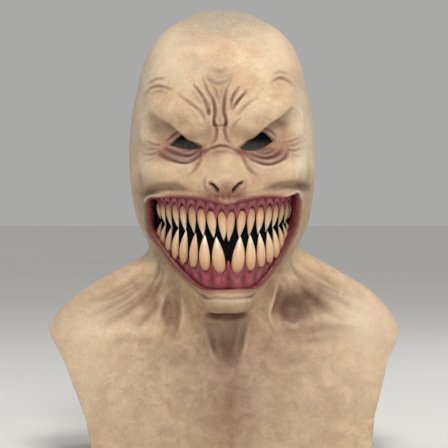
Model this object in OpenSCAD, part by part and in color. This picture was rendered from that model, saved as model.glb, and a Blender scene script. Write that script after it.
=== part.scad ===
// Over-the-head latex creature mask with a shoulder and chest bib.
// Millimetres. +Z is up, the face looks along -Y, and the origin is on the floor under the
// middle of the hem. One module per piece; NODES lists them all.

/* [Latex skin] */
// Wall of the latex casting
wall = 3.5; // [3:0.25:4.5]
// Width of the opened slit down the back
slit_w = 10.4; // [10:0.2:12]
// Length of one eye opening, corner to corner
eye_len = 30; // [24:1:32]
// Height of one eye opening
eye_tall = 11; // [9:0.5:12]

/* [Teeth and gums] */
// Upper fangs on each side
upper_count = 9; // [7:1:9]
// Lower fangs on each side
lower_count = 8; // [6:1:8]
// Length of the longest upper fang beyond the gum
upper_len = 28; // [24:1:29]
// Length of the longest lower fang beyond the gum
lower_len = 36; // [30:1:37]
// Width of the widest upper fang
upper_w = 8.6; // [7:0.2:9]
// Width of the widest lower fang
lower_w = 11.2; // [9:0.2:11.4]
// Length of the peg that holds a fang in its gum
peg_len = 5; // [4:0.5:6]

/* [Zipper] */
// Length of the zipper chain
chain_len = 170; // [140:1:175]
// Distance from one chain tooth to the next on the same side
pitch = 3.4; // [3:0.1:4]
// Width of one zipper tape
tape_w = 11; // [9:0.5:12]
// Free length of the pull tab
tab_len = 22; // [18:1:24]

/* [Fit pads] */
// Thickness of the temple pads
pad_t = 11; // [8:1:12]

/* [Hidden] */
$fn = 32;

// ---------------------------------------------------------------- head and body sections
// Each row: height, half width, depth to the front, depth to the back
HEAD = [
    [146, 2, 20, 2], [147, 8, 55, 6], [150, 17, 80, 12], [155, 24, 90, 18], [163, 32, 93, 25],
    [175, 43, 93, 34], [190, 56, 93, 44], [205, 67, 93.5, 55], [223, 78, 94, 68], [237, 85.5, 94.5, 77],
    [249, 89, 95, 83], [270, 93, 95, 90], [290, 94.5, 93, 95.5], [309, 95, 90, 100],
    [324, 95, 89, 103], [340, 93.5, 90, 105], [356, 92, 90, 105], [372, 88.5, 88, 103.5],
    [389, 85.5, 84.5, 100], [405, 81, 79, 94], [422, 73, 70, 83], [438, 60, 57, 67],
    [450, 39, 38, 44], [455, 28, 27, 31], [459, 15, 14, 16], [460, 1, 1, 1]
];
BODY = [
    [0, 205, 86, 110.4], [40, 205, 84, 104], [80, 200, 72, 97.6], [105, 195, 56, 93.6],
    [125, 188, 48, 90.4], [140, 178, 46, 88], [158, 165, 46, 85], [177, 141, 46, 82],
    [192, 116, 47, 79.7], [205, 92, 48, 77.6], [215, 76, 48, 76], [235, 64, 48, 74],
    [260, 60, 46, 70], [300, 40, 30, 40], [330, 2, 2, 2], [460, 1, 1, 1]
];
// Squareness of a body section by height: 2 is an ellipse
BODY_N = [[0, 2.6], [80, 2.5], [105, 2.3], [125, 2.1], [140, 2], [460, 2]];
HEAD_N = 2.3;
JOIN = 14; // how softly the jaw and the neck run into each other

// Soft forms of the face: side distance, height, spread across, spread up, how far they stand out.
// A form off the middle line has a twin on the other side.
FORMS = [
    [0, 281, 12, 17, 19],    // nose
    [0, 322, 8, 16, 5],      // bridge of the nose
    [21, 340, 20, 9, 7],     // inner brow
    [48, 351, 20, 9, 6],     // outer brow
    [37, 321, 17, 10, -11],  // eye socket
    [66, 341, 9, 10, -5],    // hollow beside the eye
    [66, 293, 17, 14, 7],    // cheek
    [0, 163, 22, 9, 4]       // chin
];

function column(table, k) = [for (row = table) [row[0], row[k]]];
HEAD_COLS = [for (k = [1:3]) column(HEAD, k)];
BODY_COLS = [for (k = [1:3]) column(BODY, k)];

// Radius of a rounded section in the direction phi, which is 0 at the front and 90 at +X
function section(phi, side, front, back, n) =
    pow(pow(abs(sin(phi)) / side, n) + pow(abs(cos(phi)) / (cos(phi) > 0 ? front : back), n), -1 / n);
function head_r(phi, z) = z < HEAD[0][0] ? 0
    : section(phi, lookup(z, HEAD_COLS[0]), lookup(z, HEAD_COLS[1]), lookup(z, HEAD_COLS[2]), HEAD_N);
function body_r(phi, z) =
    section(phi, lookup(z, BODY_COLS[0]), lookup(z, BODY_COLS[1]), lookup(z, BODY_COLS[2]),
            lookup(z, BODY_N));
function soft_max(a, b, k) = max(a, b) + pow(max(k - abs(a - b), 0), 2) / (4 * k);
function base_r(phi, z) = soft_max(head_r(phi, z), body_r(phi, z), JOIN);
function bell(x) = exp(-x * x);
function form(f, x, z) = f[4] * bell((z - f[1]) / f[3])
    * (f[0] == 0 ? bell(x / f[2]) : bell((abs(x) - f[0]) / f[2]));
function forms(x, z) = [for (f = FORMS) form(f, x, z)] * [for (f = FORMS) 1];
function outer_r(phi, z) = let(r = base_r(phi, z))
    cos(phi) > 0 ? r + forms(r * sin(phi), z) * min(1, cos(phi) * 4) : r;
function at(phi, z, r) = [r * sin(phi), -r * cos(phi), z];
function skin_point(phi, z) = at(phi, z, outer_r(phi, z));

// Heights and directions of the skin's net, closer together where it bends most
ROWS = concat(
    [0, 22, 44, 66, 88, 105, 120, 134, 144, 148, 152, 158, 166, 176],
    [for (z = [186:10:256]) z], [for (z = [265:8:361]) z],
    [372, 386, 400, 414, 426, 436, 444, 450.5, 455.5, 458.8]
);
FRONT_STEPS = [0, 7, 14, 21, 28, 36, 44, 51, 57, 63, 69, 75, 82];
SIDE_STEPS = [90, 98, 106, 113, 120, 128, 140, 154, 167];
HALF = concat(FRONT_STEPS, SIDE_STEPS);
COLS = concat(HALF, [180], [for (k = [len(HALF) - 1:-1:1]) 360 - HALF[k]]);

// The point of the inner wall under a point of the outer one: one wall thickness along the normal
function inner_point(phi, z) = let(
        step = 1.5,
        above = min(z + step, 459.9),
        along = skin_point(phi + step, z) - skin_point(phi - step, z),
        up = skin_point(phi, above) - skin_point(phi, max(z - step, 0)),
        n = cross(along, up),
        p = skin_point(phi, z) - wall * n / norm(n))
    z == 0 ? [p[0], p[1], 0] : p;

module skin_wall() {
    m = len(COLS);
    rows = len(ROWS);
    size = m * rows;
    outer = [for (z = ROWS) for (phi = COLS) skin_point(phi, z)];
    inner = [for (z = ROWS) for (phi = COLS) inner_point(phi, z)];
    crown = [[0, 0, 460], [0, 0, 460 - wall]];
    polyhedron(
        points = concat(outer, inner, crown),
        faces = concat(
            [for (i = [0:rows - 2]) for (j = [0:m - 1])
                let(a = i * m + j, b = i * m + (j + 1) % m)
                each [[a, a + m, b], [b, a + m, b + m]]],
            [for (i = [0:rows - 2]) for (j = [0:m - 1])
                let(a = size + i * m + j, b = size + i * m + (j + 1) % m)
                each [[a, b, a + m], [b, b + m, a + m]]],
            [for (j = [0:m - 1]) let(a = (rows - 1) * m + j, b = (rows - 1) * m + (j + 1) % m)
                each [[a, 2 * size, b], [size + a, size + b, 2 * size + 1]]],
            [for (j = [0:m - 1]) let(a = j, b = (j + 1) % m)
                each [[a, b, size + a], [b, size + b, size + a]]]
        )
    );
}

// ---------------------------------------------------------------- openings of the skin
// Outline of the mouth opening, one side, from the middle of the top lip round to the lower lip
MOUTH_SIDE = [[0, 260], [16, 263], [38, 265.5], [62, 265], [73, 267], [75, 259], [73.5, 240],
              [68, 221], [58, 204], [45, 189], [33, 180], [26, 178], [12, 179.5], [0, 180]];
MOUTH = concat(MOUTH_SIDE, [for (k = [len(MOUTH_SIDE) - 2:-1:1]) [-MOUTH_SIDE[k][0], MOUTH_SIDE[k][1]]]);
// Edge of the bib beside the arm, from the shoulder tip down to the hem
ARM_SIDE = [[181.5, 150], [181, 134], [177, 124], [163, 99], [149, 72], [137, 38], [130, -1]];
EYE_X = 36.5;
EYE_Z = 319;
EYE_TILT = 16;

module through_front(from, to) {
    translate([0, to, 0]) rotate([90, 0, 0]) linear_extrude(to - from) children();
}

module eye_shape(grow) {
    polygon([for (t = [0:15:345]) [
        (eye_len / 2 + grow) * cos(t),
        (eye_tall / 2 + grow) * sin(t) * pow(max(1 - abs(cos(t)), 0.001), 0.25)]]);
}

module eye_hole(side) {
    through_front(-130, -30)
        translate([side * EYE_X, EYE_Z]) rotate(side * EYE_TILT) eye_shape(0);
}

module arm_cut(side) {
    through_front(-140, 140)
        polygon([for (p = concat(ARM_SIDE, [[260, -1], [260, ARM_SIDE[0][1]]])) [side * p[0], p[1]]]);
}

module nostril(side) {
    translate([side * 10.5, -70, 271]) rotate([98, 0, side * 12]) cylinder(r = 1.9, h = 60);
}

BACK_SLOPE = atan(0.16); // lean of the back's middle line, outwards going down
BACK_TOP = 76;           // depth of the back's outer face at the nape
NAPE_Z = 215;
SLIT_TOP = 211;

// Puts its children in the zipper's own frame: Z up along the back's middle line, Y out of the
// back, with the origin on the outer face at the nape's height
module on_back() {
    translate([0, BACK_TOP, NAPE_Z]) rotate([BACK_SLOPE, 0, 0]) children();
}

module back_slit() {
    translate([-slit_w / 2, 40, -1]) cube([slit_w, 100, SLIT_TOP + 1]);
}

module latex_skin() {
    color("burlywood") difference() {
        skin_wall();
        through_front(-140, -12) polygon(MOUTH);
        for (side = [-1, 1]) {
            eye_hole(side);
            nostril(side);
            arm_cut(side);
        }
        back_slit();
    }
}

// ---------------------------------------------------------------- gums and fangs
UPPER_R = 76;       // arch of the upper fangs, seen from above
UPPER_C = -9;       // its centre
LOWER_R = 66;       // arch of the lower fangs, in its own tilted plane
LOWER_TILT = 38;
LOWER_FRONT = -84;
LOWER_Z = 192;
UPPER_Z = 253;

function upper_angle(k) = 3.6 + 7.3 * (k - 1);
function upper_root(k) = let(t = upper_angle(k))
    [UPPER_R * sin(t), UPPER_C - UPPER_R * cos(t), UPPER_Z + 3.5 * bell((t - 45) / 30)];
// The lower arch: a circle that leans back, so that it climbs towards the corners of the mouth
function lower_point(t, r) = [r * sin(t),
    LOWER_FRONT + (LOWER_R - r * cos(t)) * cos(LOWER_TILT),
    LOWER_Z + (LOWER_R - r * cos(t)) * sin(LOWER_TILT)];
LOWER_ANGLES = [7, 19, 28.8, 38.6, 48, 57, 65.5, 74];
function lower_angle(k) = LOWER_ANGLES[k - 1];
function lower_root(k) = lower_point(lower_angle(k), LOWER_R);

// Relative size of each fang, from the middle of the mouth outwards
UPPER_SIZE = [1, 1, 0.96, 0.9, 0.84, 0.78, 0.7, 0.58, 0.46];
LOWER_SIZE = [1, 0.98, 0.93, 0.86, 0.76, 0.68, 0.58, 0.46];
LOWER_WIDE = [1, 0.95, 0.84, 0.8, 0.72, 0.66, 0.6, 0.54];
PEG_R = 1.8;
BARE = 1;    // bare peg between the gum and the foot of the fang
GLUE = 0.1;

// A fang of the given length and width standing on z = 0, with its peg below
module fang(length, width) {
    r = width / 2;
    rotate_extrude() polygon([
        [0, -peg_len], [PEG_R - 0.3, -peg_len], [PEG_R, -peg_len + 0.3], [PEG_R, BARE],
        [0.62 * r, BARE + 0.04 * length], [0.88 * r, BARE + 0.12 * length], [r, 0.33 * length],
        [0.95 * r, 0.45 * length], [0.76 * r, 0.62 * length], [0.47 * r, 0.8 * length],
        [0.2 * r, 0.94 * length], [0, length]
    ]);
}

// Puts an upper fang's frame at its root, tip down, leaning back a little
module at_upper(side, k) {
    p = upper_root(k);
    translate([side * p[0], p[1], p[2]]) rotate([0, 0, side * upper_angle(k)])
        rotate([180 - 4, 0, 0]) children();
}

// Puts a lower fang's frame at its root, tip up, leaning forward a little
module at_lower(side, k) {
    p = lower_root(k);
    translate([side * p[0], p[1], p[2]]) rotate([0, 0, side * lower_angle(k)])
        rotate([3, 0, 0]) children();
}

module upper_fang(side, k) {
    size = UPPER_SIZE[k - 1];
    color("wheat") at_upper(side, k) fang(upper_len * size, upper_w * (0.45 + 0.55 * size));
}

module lower_fang(side, k) {
    color("wheat") at_lower(side, k) fang(lower_len * LOWER_SIZE[k - 1], lower_w * LOWER_WIDE[k - 1]);
}

module socket() {
    translate([0, 0, -peg_len - GLUE]) cylinder(r = PEG_R + GLUE, h = peg_len + 8);
}

// A rounded bar swept through a row of frames. Each frame: centre, outward direction, half
// thickness, height above and height below the centre
SIDES = 10;
function bar_ring(f) = [for (k = [0:SIDES - 1]) let(a = 360 * k / SIDES)
    f[0] + f[1] * f[2] * cos(a) + [0, 0, sin(a) > 0 ? f[3] * sin(a) : f[4] * sin(a)]];

module bar(frames) {
    n = len(frames);
    polyhedron(
        points = [for (f = frames) each bar_ring(f)],
        faces = concat(
            [[for (k = [0:SIDES - 1]) k]],
            [[for (k = [SIDES - 1:-1:0]) (n - 1) * SIDES + k]],
            [for (i = [0:n - 2]) for (k = [0:SIDES - 1])
                let(a = i * SIDES + k, b = i * SIDES + (k + 1) % SIDES)
                each [[a, a + SIDES, b], [b, a + SIDES, b + SIDES]]]
        )
    );
}

function outward(t) = [sin(t), -cos(t), 0];
function upper_frame(t) =
    [[UPPER_R * sin(t), UPPER_C - UPPER_R * cos(t), UPPER_Z + 5.5 + 3.5 * bell((abs(t) - 45) / 30)],
     outward(t), 4.6, 9, 6];
// The lower gum thins out towards its ends, where the latex closes in on it
function lower_frame(t) = let(p = lower_point(t, LOWER_R), thin = pow(sin(t), 4))
    [p - [0, 0, 3.4] - 0.8 * thin * outward(t), outward(t), 4.6 - 1.6 * thin, 3.4,
     12 - 11 * pow(sin(t), 2)];

module upper_gum() {
    color("indianred") difference() {
        bar([for (t = [-68:4:68]) upper_frame(t)]);
        for (side = [-1, 1]) for (k = [1:upper_count]) at_upper(side, k) socket();
    }
}

module lower_gum() {
    color("indianred") difference() {
        bar([for (t = [-78:6:78]) lower_frame(t)]);
        for (side = [-1, 1]) for (k = [1:lower_count]) at_lower(side, k) socket();
    }
}

// ---------------------------------------------------------------- scrims behind the openings
SCRIM_T = 0.8;
SCRIM_R = 68.4; // the mouth scrim is bent round inside both arches

module mouth_scrim() {
    inset = 0.9;
    color("black") intersection() {
        translate([0, UPPER_C, 0]) difference() {
            cylinder(r = SCRIM_R, h = 300, $fn = 96);
            translate([0, 0, -1]) cylinder(r = SCRIM_R - SCRIM_T, h = 302, $fn = 96);
        }
        through_front(-130, -30)
            polygon([for (p = MOUTH) [p[0] * inset * 0.96, 222 + (p[1] - 222) * inset]]);
    }
}

module eye_scrim(side) {
    color("dimgray") translate([side * EYE_X, -68.5, EYE_Z]) rotate([0, 0, side * 14])
        rotate([90, 0, 0]) linear_extrude(SCRIM_T) rotate(side * EYE_TILT) eye_shape(4);
}

// ---------------------------------------------------------------- fit pads
module crown_pad() {
    color("gray") translate([0, 5, 372]) difference() {
        sphere(r = 82, $fn = 64);
        sphere(r = 72, $fn = 64);
        translate([-100, -100, -100]) cube([200, 200, 161]);
    }
}

module temple_pad(side) {
    inner = 74;
    color("gray") translate([0, 8, 322]) rotate([0, 0, side > 0 ? -24 : 156])
        rotate_extrude(angle = 48, $fn = 64) translate([inner, 0])
            polygon([[0, 3], [3, 0], [pad_t - 3, 0], [pad_t, 3], [pad_t, 47],
                     [pad_t - 3, 50], [3, 50], [0, 47]]);
}

// ---------------------------------------------------------------- zipper
// In the zipper's frame the chain hangs from z = CHAIN_TOP down to CHAIN_TOP - chain_len
CHAIN_TOP = -8;
TAPE_T = 0.9;
TAPE_Y = -wall - 1.1 - TAPE_T;  // inner face of the tape, a glue line inside the latex
TAPE_FACE = TAPE_Y + TAPE_T;
BEAD_IN = 1.2;
BEAD_OUT = 1.85;
TOOTH_OUT = 3.1;
TOOTH_LIP = 1.0;
TOOTH_T = pitch / 2 - 0.2;
TOOTH_LOW = TAPE_FACE + 1.3;
TOOTH_HIGH = TAPE_FACE + 3.4;

// Both tape edges lie 0.4 mm from the middle line
module zip_tape(side) {
    color("black") on_back() mirror([side < 0 ? 1 : 0, 0, 0])
        translate([0.4, TAPE_Y, CHAIN_TOP - chain_len - 6]) cube([tape_w, TAPE_T, chain_len + 10]);
}

// One half of the chain: a row of teeth on a bead that is sewn along the edge of its tape
module zip_chain(side) {
    count = floor((chain_len - 2) / pitch);
    first = CHAIN_TOP - chain_len + 1 + (side > 0 ? pitch / 2 : 0);
    color("dimgray") on_back() mirror([side < 0 ? 1 : 0, 0, 0]) union() {
        translate([BEAD_IN, TAPE_FACE, CHAIN_TOP - chain_len])
            cube([BEAD_OUT - BEAD_IN, TOOTH_LOW - TAPE_FACE + 0.3, chain_len]);
        for (i = [0:count - 1])
            translate([-TOOTH_LIP, TOOTH_LOW, first + i * pitch])
                cube([TOOTH_OUT + TOOTH_LIP, TOOTH_HIGH - TOOTH_LOW, TOOTH_T]);
    }
}

module zip_end_stops() {
    color("silver") on_back() for (z = [CHAIN_TOP + 0.2, CHAIN_TOP - chain_len - 3.4])
        translate([-3.2, TAPE_FACE, z]) difference() {
            cube([6.4, 3.4, 3]);
            translate([2.9, -1, -1]) cube([0.6, 1.8, 5]);
        }
}

SLIDER_L = 13;
SLIDER_Z = CHAIN_TOP - chain_len + 1.2;  // lower end of the slider when the zipper is shut
PLATE_Y = TOOTH_HIGH + 0.3;
PLATE_T = 1.4;
CHEEK_IN = TOOTH_OUT + 0.35;
CHEEK_OUT = CHEEK_IN + 1;
HOOK_IN = BEAD_OUT + 0.25;
BAR_Y = PLATE_Y + PLATE_T + 1.9;
BAR_R = 0.8;

// The slider rides over the chain like a rail shoe: its hooks run in under the teeth
module zip_slider() {
    color("silver") on_back() translate([0, 0, SLIDER_Z]) union() {
        translate([-CHEEK_OUT, PLATE_Y, 0]) cube([2 * CHEEK_OUT, PLATE_T, SLIDER_L]);
        for (side = [-1, 1]) mirror([side < 0 ? 1 : 0, 0, 0]) {
            translate([CHEEK_IN, TAPE_FACE + 0.3, 0])
                cube([CHEEK_OUT - CHEEK_IN, PLATE_Y - TAPE_FACE, SLIDER_L]);
            translate([HOOK_IN, TAPE_FACE + 0.3, 0]) cube([CHEEK_OUT - HOOK_IN, 0.7, SLIDER_L]);
            translate([1.6, PLATE_Y + PLATE_T - 0.2, SLIDER_L / 2 - 1.4]) cube([1.2, 2.9, 2.8]);
        }
        translate([-2.7, BAR_Y, SLIDER_L / 2]) rotate([0, 90, 0]) cylinder(r = BAR_R, h = 5.4);
    }
}

// The tab hangs from the slider's bar by a round eye
module zip_pull_tab() {
    color("silver") on_back() translate([0, BAR_Y, SLIDER_Z + SLIDER_L / 2]) difference() {
        union() {
            translate([-1.3, 0, 0]) rotate([0, 90, 0]) cylinder(r = 1.7, h = 2.6);
            translate([-1.3, -0.7, -6]) cube([2.6, 1.4, 6]);
            translate([-3.5, -0.7, -tab_len]) cube([7, 1.4, tab_len - 5]);
        }
        translate([-5, 0, 0]) rotate([0, 90, 0]) cylinder(r = BAR_R + 0.12, h = 10);
        translate([0, 5, -tab_len + 4.5]) rotate([90, 0, 0]) cylinder(r = 1.6, h = 10);
    }
}

// ---------------------------------------------------------------- the pieces
latex_skin();
upper_gum();
lower_gum();
mouth_scrim();
eye_scrim(-1);  // left_eye_scrim
eye_scrim(1);  // right_eye_scrim
crown_pad();
temple_pad(-1);  // left_temple_pad
temple_pad(1);  // right_temple_pad
for (k = [1:upper_count]) {
    upper_fang(-1, k);
    upper_fang(1, k);
}
for (k = [1:lower_count]) {
    lower_fang(-1, k);
    lower_fang(1, k);
}
zip_tape(-1);  // left_zip_tape
zip_tape(1);  // right_zip_tape
zip_chain(-1);  // left_zip_chain
zip_chain(1);  // right_zip_chain
zip_end_stops();
zip_slider();
zip_pull_tab();
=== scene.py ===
"""Looks of an over-the-head latex creature mask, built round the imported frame.

Tables are in millimetres in the frame's own axes: +Z up, the face looks along -Y, +X is the viewer's right.
"""
import itertools
import math

import bpy
import numpy as np
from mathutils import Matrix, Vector


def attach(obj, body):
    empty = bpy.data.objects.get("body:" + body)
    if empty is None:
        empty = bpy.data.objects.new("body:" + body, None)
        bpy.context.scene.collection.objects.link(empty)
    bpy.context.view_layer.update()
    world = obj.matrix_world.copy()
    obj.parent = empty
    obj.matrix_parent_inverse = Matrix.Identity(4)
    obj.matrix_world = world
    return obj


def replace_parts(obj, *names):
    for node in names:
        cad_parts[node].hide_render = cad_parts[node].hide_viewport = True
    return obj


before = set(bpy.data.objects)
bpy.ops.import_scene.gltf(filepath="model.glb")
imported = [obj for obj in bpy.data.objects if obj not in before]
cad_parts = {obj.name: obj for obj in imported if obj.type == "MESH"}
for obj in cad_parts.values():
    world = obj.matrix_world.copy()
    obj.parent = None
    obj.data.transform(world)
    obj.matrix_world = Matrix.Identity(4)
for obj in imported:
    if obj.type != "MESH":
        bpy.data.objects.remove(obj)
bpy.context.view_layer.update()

MM = 0.001
rng = np.random.default_rng(7)

# ------------------------------------------------------------------ camera
VIEW_AZIMUTH = -2.6   # degrees; the camera stands a little to the viewer's left
VIEW_DISTANCE = 1.4
VIEW_HEIGHT = 0.240
VIEW_WIDTH = 0.4628   # what the picture spans at the mask's middle


def link(name, data):
    obj = bpy.data.objects.new(name, data)
    bpy.context.scene.collection.objects.link(obj)
    return obj


def make_camera():
    data = bpy.data.cameras.new("camera")
    data.sensor_width = 36
    data.lens = data.sensor_width * VIEW_DISTANCE / VIEW_WIDTH
    cam = link("camera", data)
    a = math.radians(VIEW_AZIMUTH)
    cam.location = (VIEW_DISTANCE * math.sin(a), -VIEW_DISTANCE * math.cos(a), VIEW_HEIGHT)
    aim = Vector((0, 0, VIEW_HEIGHT)) - cam.location
    cam.rotation_euler = aim.to_track_quat("-Z", "Y").to_euler()
    bpy.context.scene.camera = cam


make_camera()

# ------------------------------------------------------------------ sections of head and body
# Height, half width, depth to the front, depth to the back
HEAD = np.array([
    [146, 2, 20, 2], [147, 8, 55, 6], [150, 17, 80, 12], [155, 24, 90, 18], [163, 32, 93, 25],
    [175, 43, 93, 34], [190, 56, 93, 44], [205, 67, 93.5, 55], [223, 78, 94, 68], [237, 85.5, 94.5, 77],
    [249, 89, 95, 83], [270, 93, 95, 90], [290, 94.5, 93, 95.5], [309, 95, 90, 100], [324, 95, 89, 103],
    [340, 93.5, 90, 105], [356, 92, 90, 105], [372, 88.5, 88, 103.5], [389, 85.5, 84.5, 100],
    [405, 81, 79, 94], [422, 73, 70, 83], [438, 60, 57, 67], [450, 39, 38, 44], [455, 28, 27, 31],
    [459, 15, 14, 16], [460, 1, 1, 1]], float)
BODY = np.array([
    [0, 205, 86, 110.4], [40, 205, 84, 104], [80, 200, 72, 97.6], [105, 195, 56, 93.6],
    [125, 188, 48, 90.4], [140, 178, 46, 88], [158, 165, 46, 85], [177, 141, 46, 82], [192, 116, 47, 79.7],
    [205, 91, 48, 77.6], [215, 73, 48, 76], [235, 60, 48, 74], [260, 56, 46, 70], [300, 40, 30, 40],
    [330, 2, 2, 2], [460, 1, 1, 1]], float)
BODY_N = np.array([[0, 2.6], [80, 2.5], [105, 2.3], [125, 2.1], [140, 2], [460, 2]], float)
HEAD_N = 2.3
JOIN = 14.0      # how far the neck blends into the shoulders
WALL = 3.5
TOP_Z = 460.0


def rounded(table, col, z, reach):
    """A section table's column at heights z. Squares are averaged over a reach, which keeps domes round."""
    zs, sq = table[:, 0], table[:, col] ** 2
    first = (sq[1] - sq[0]) / (zs[1] - zs[0])
    last = (sq[-1] - sq[-2]) / (zs[-1] - zs[-2])
    total = np.zeros_like(z)
    steps = np.linspace(-2, 2, 9)
    weights = np.exp(-steps ** 2 / 2)
    for s, w in zip(steps, weights / weights.sum()):
        q = z + s * reach
        v = np.interp(q, zs, sq)
        v = np.where(q < zs[0], sq[0] + (q - zs[0]) * first, v)
        v = np.where(q > zs[-1], sq[-1] + (q - zs[-1]) * last, v)
        total += w * v
    return np.sqrt(np.clip(total, 0, None))


def section(phi, side, front, back, n):
    s, c = np.abs(np.sin(phi)), np.abs(np.cos(phi))
    deep = np.where(np.cos(phi) > 0, front, back)
    side, deep = np.maximum(side, 0.05), np.maximum(deep, 0.05)
    return ((s / side) ** n + (c / deep) ** n) ** (-1 / n)


def soft_max(a, b, k):
    return np.maximum(a, b) + np.maximum(k - np.abs(a - b), 0) ** 2 / (4 * k)


def base_radius(phi, z):
    near_chin = np.clip((z - 150) / 25, 0, 1)
    near_crown = np.clip((TOP_Z - z) / 25, 0, 1)
    reach = 0.5 + 4.5 * np.minimum(near_chin, near_crown)
    h = [rounded(HEAD, k, z, reach) for k in (1, 2, 3)]
    b = [rounded(BODY, k, z, np.full_like(z, 6.0)) for k in (1, 2, 3)]
    head = np.where(z < HEAD[0, 0], 0, section(phi, *h, HEAD_N))
    body = section(phi, *b, np.interp(z, BODY_N[:, 0], BODY_N[:, 1]))
    body = np.where(z > 330, 1.0, body)
    return soft_max(head, body, JOIN)


# ------------------------------------------------------------------ lines drawn on the skin
def curve(points, step=1.6):
    """A smooth line through the points (Catmull-Rom), about step apart."""
    p = np.array(points, float)
    p = np.vstack([2 * p[0] - p[1], p, 2 * p[-1] - p[-2]])
    out = []
    for a, b, c, d in zip(p[:-3], p[1:-2], p[2:-1], p[3:]):
        n = max(2, int(np.linalg.norm(c - b) / step))
        t = np.arange(n)[:, None] / n
        out.append(0.5 * (2 * b + (c - a) * t + (2 * a - 5 * b + 4 * c - d) * t ** 2
                          + (3 * b - a - 3 * c + d) * t ** 3))
    out.append(p[-2][None])
    return np.vstack(out)


def loop(points, step=1.6):
    """A smooth closed line through the points."""
    p = [points[-1]] + list(points) + [points[0], points[1]]
    q = curve(p, step)
    first = int(np.argmin(np.linalg.norm(q - np.array(points[0]), axis=1)[: len(q) // 2]))
    second = len(q) // 2 + int(np.argmin(np.linalg.norm(q - np.array(points[0]), axis=1)[len(q) // 2:]))
    return q[first:second]


def nearest(x, z, line, closed=False):
    """Distance from each point to a line, which side it is on, and how far along it lies from 0 to 1."""
    a = line
    b = np.roll(line, -1, axis=0)
    if not closed:
        a, b = a[:-1], b[:-1]
    best = np.full(x.shape, 1e9)
    side = np.zeros_like(best)
    along = np.zeros_like(best)
    length = np.linalg.norm(b - a, axis=1)
    start = np.concatenate([[0], np.cumsum(length)[:-1]])
    for (ax, az), (bx, bz), n, s0 in zip(a, b, length, start):
        if n < 1e-9:
            continue
        ux, uz = (bx - ax) / n, (bz - az) / n
        t = np.clip((x - ax) * ux + (z - az) * uz, 0, n)
        dx, dz = x - ax - t * ux, z - az - t * uz
        d = dx * dx + dz * dz
        hit = d < best
        best = np.where(hit, d, best)
        side = np.where(hit, np.sign(ux * dz - uz * dx), side)
        along = np.where(hit, s0 + t, along)
    return np.sqrt(best), side, along / length.sum()


def inside(x, z, ring):
    a, b = ring, np.roll(ring, -1, axis=0)
    hits = np.zeros(x.shape, int)
    for (ax, az), (bx, bz) in zip(a, b):
        if az == bz:
            continue
        crosses = (az > z) != (bz > z)
        hits += crosses & (x < ax + (z - az) * (bx - ax) / (bz - az))
    return hits % 2 == 1


def signed(x, z, ring):
    """Distance to a closed outline: positive outside it."""
    d = nearest(x, z, ring, closed=True)[0]
    return np.where(inside(x, z, ring), -d, d)


def bell(x):
    return np.exp(-x * x)


def step_up(x):
    """A smooth step from 0 to 1 as x goes from 0 to 1."""
    t = np.clip(x, 0, 1)
    return t * t * (3 - 2 * t)


# Openings seen from the front, (x, z)
MOUTH = loop([(-1, 258.8), (15, 262), (36, 265.8), (58, 266), (70, 269.5), (73, 266), (72.8, 255),
              (69.5, 236), (61, 219), (52, 203.5), (40, 187.5), (27.5, 177.2), (10, 176.8), (0, 176.2),
              (-11, 176), (-26, 176.6), (-40, 187), (-53.7, 202), (-67.2, 220.5), (-76.6, 237),
              (-78.2, 255), (-76.8, 266.8), (-64, 267.4), (-43, 265.6), (-20, 262.8)])
LEFT_EYE = loop([(-57, 318), (-50, 323.3), (-42.7, 325.4), (-35.5, 321.2), (-29, 317.6), (-23.6, 314.4),
                 (-31, 313.2), (-41, 313.6), (-51, 315.6)], 0.8)
RIGHT_EYE = loop([(50, 321), (44, 326.2), (36.8, 328), (28, 322.4), (21, 318.2), (14, 314.2),
                  (22, 311.6), (32, 312.2), (42, 315.6)], 0.8)
LEFT_ARM = np.array([(-181.8, 152), (-181, 138), (-176.5, 128), (-161.5, 104), (-150, 79), (-137.5, 49),
                     (-132, 20), (-129, -3)], float)
RIGHT_ARM = np.array([(181.8, 152), (181.2, 134), (177, 121), (163.5, 99.5), (153.5, 74), (145.5, 50),
                      (142.5, 20), (141.5, -3)], float)
SLIT_HALF = 5.2
SLIT_TOP = 211.0

# Soft forms: x, z, spread across, spread up, height
FORMS = [
    (-1, 291, 13, 15, 8.5),      # nose
    (-1, 280, 11, 9, 8.5),       # its tip
    (-14, 277, 7.5, 7, 5.5),     # wings of the nose
    (12.5, 278, 7.5, 7, 5.5),
    (-5, 321, 7, 12, 4),         # bridge
    (-22, 338, 15, 12, 5),       # brows
    (14, 338, 15, 12, 5),
    (-50, 352, 20, 11, 6),
    (44, 355, 20, 11, 6),
    (-40, 320, 19, 9, -9),       # eye sockets
    (32, 320, 19, 9, -9),
    (-67, 336, 11, 10, -5),      # hollows beside the eyes
    (64, 338, 11, 10, -5),
    (-66, 292, 19, 13, 6.5),     # cheeks
    (64, 293, 19, 13, 6.5),
    (-32, 286, 12, 14, 1.5),
    (30, 287, 12, 14, 1.5),
    (0, 163, 23, 8, 4.5),        # chin
    (-54, 150, 8, 19, -7),       # hollows of the neck
    (66, 156, 15, 14, -10),
    (-78, 158, 12, 14, -3),
    (86, 160, 14, 12, -4),
    (0, 148, 20, 10, -3),
    (-6, 378, 15, 9, -1.2),      # dent in the forehead
    (-40, 384, 24, 18, 2),       # rounded corners of the forehead
    (36, 388, 24, 18, 2),
    (-70, 62, 62, 42, 5),        # chest
    (70, 62, 62, 42, 5),
    (0, 60, 11, 60, -2.2),
    (-108, 132, 26, 9, 2.5),     # collarbones
    (108, 132, 26, 9, 2.5),
]
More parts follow.
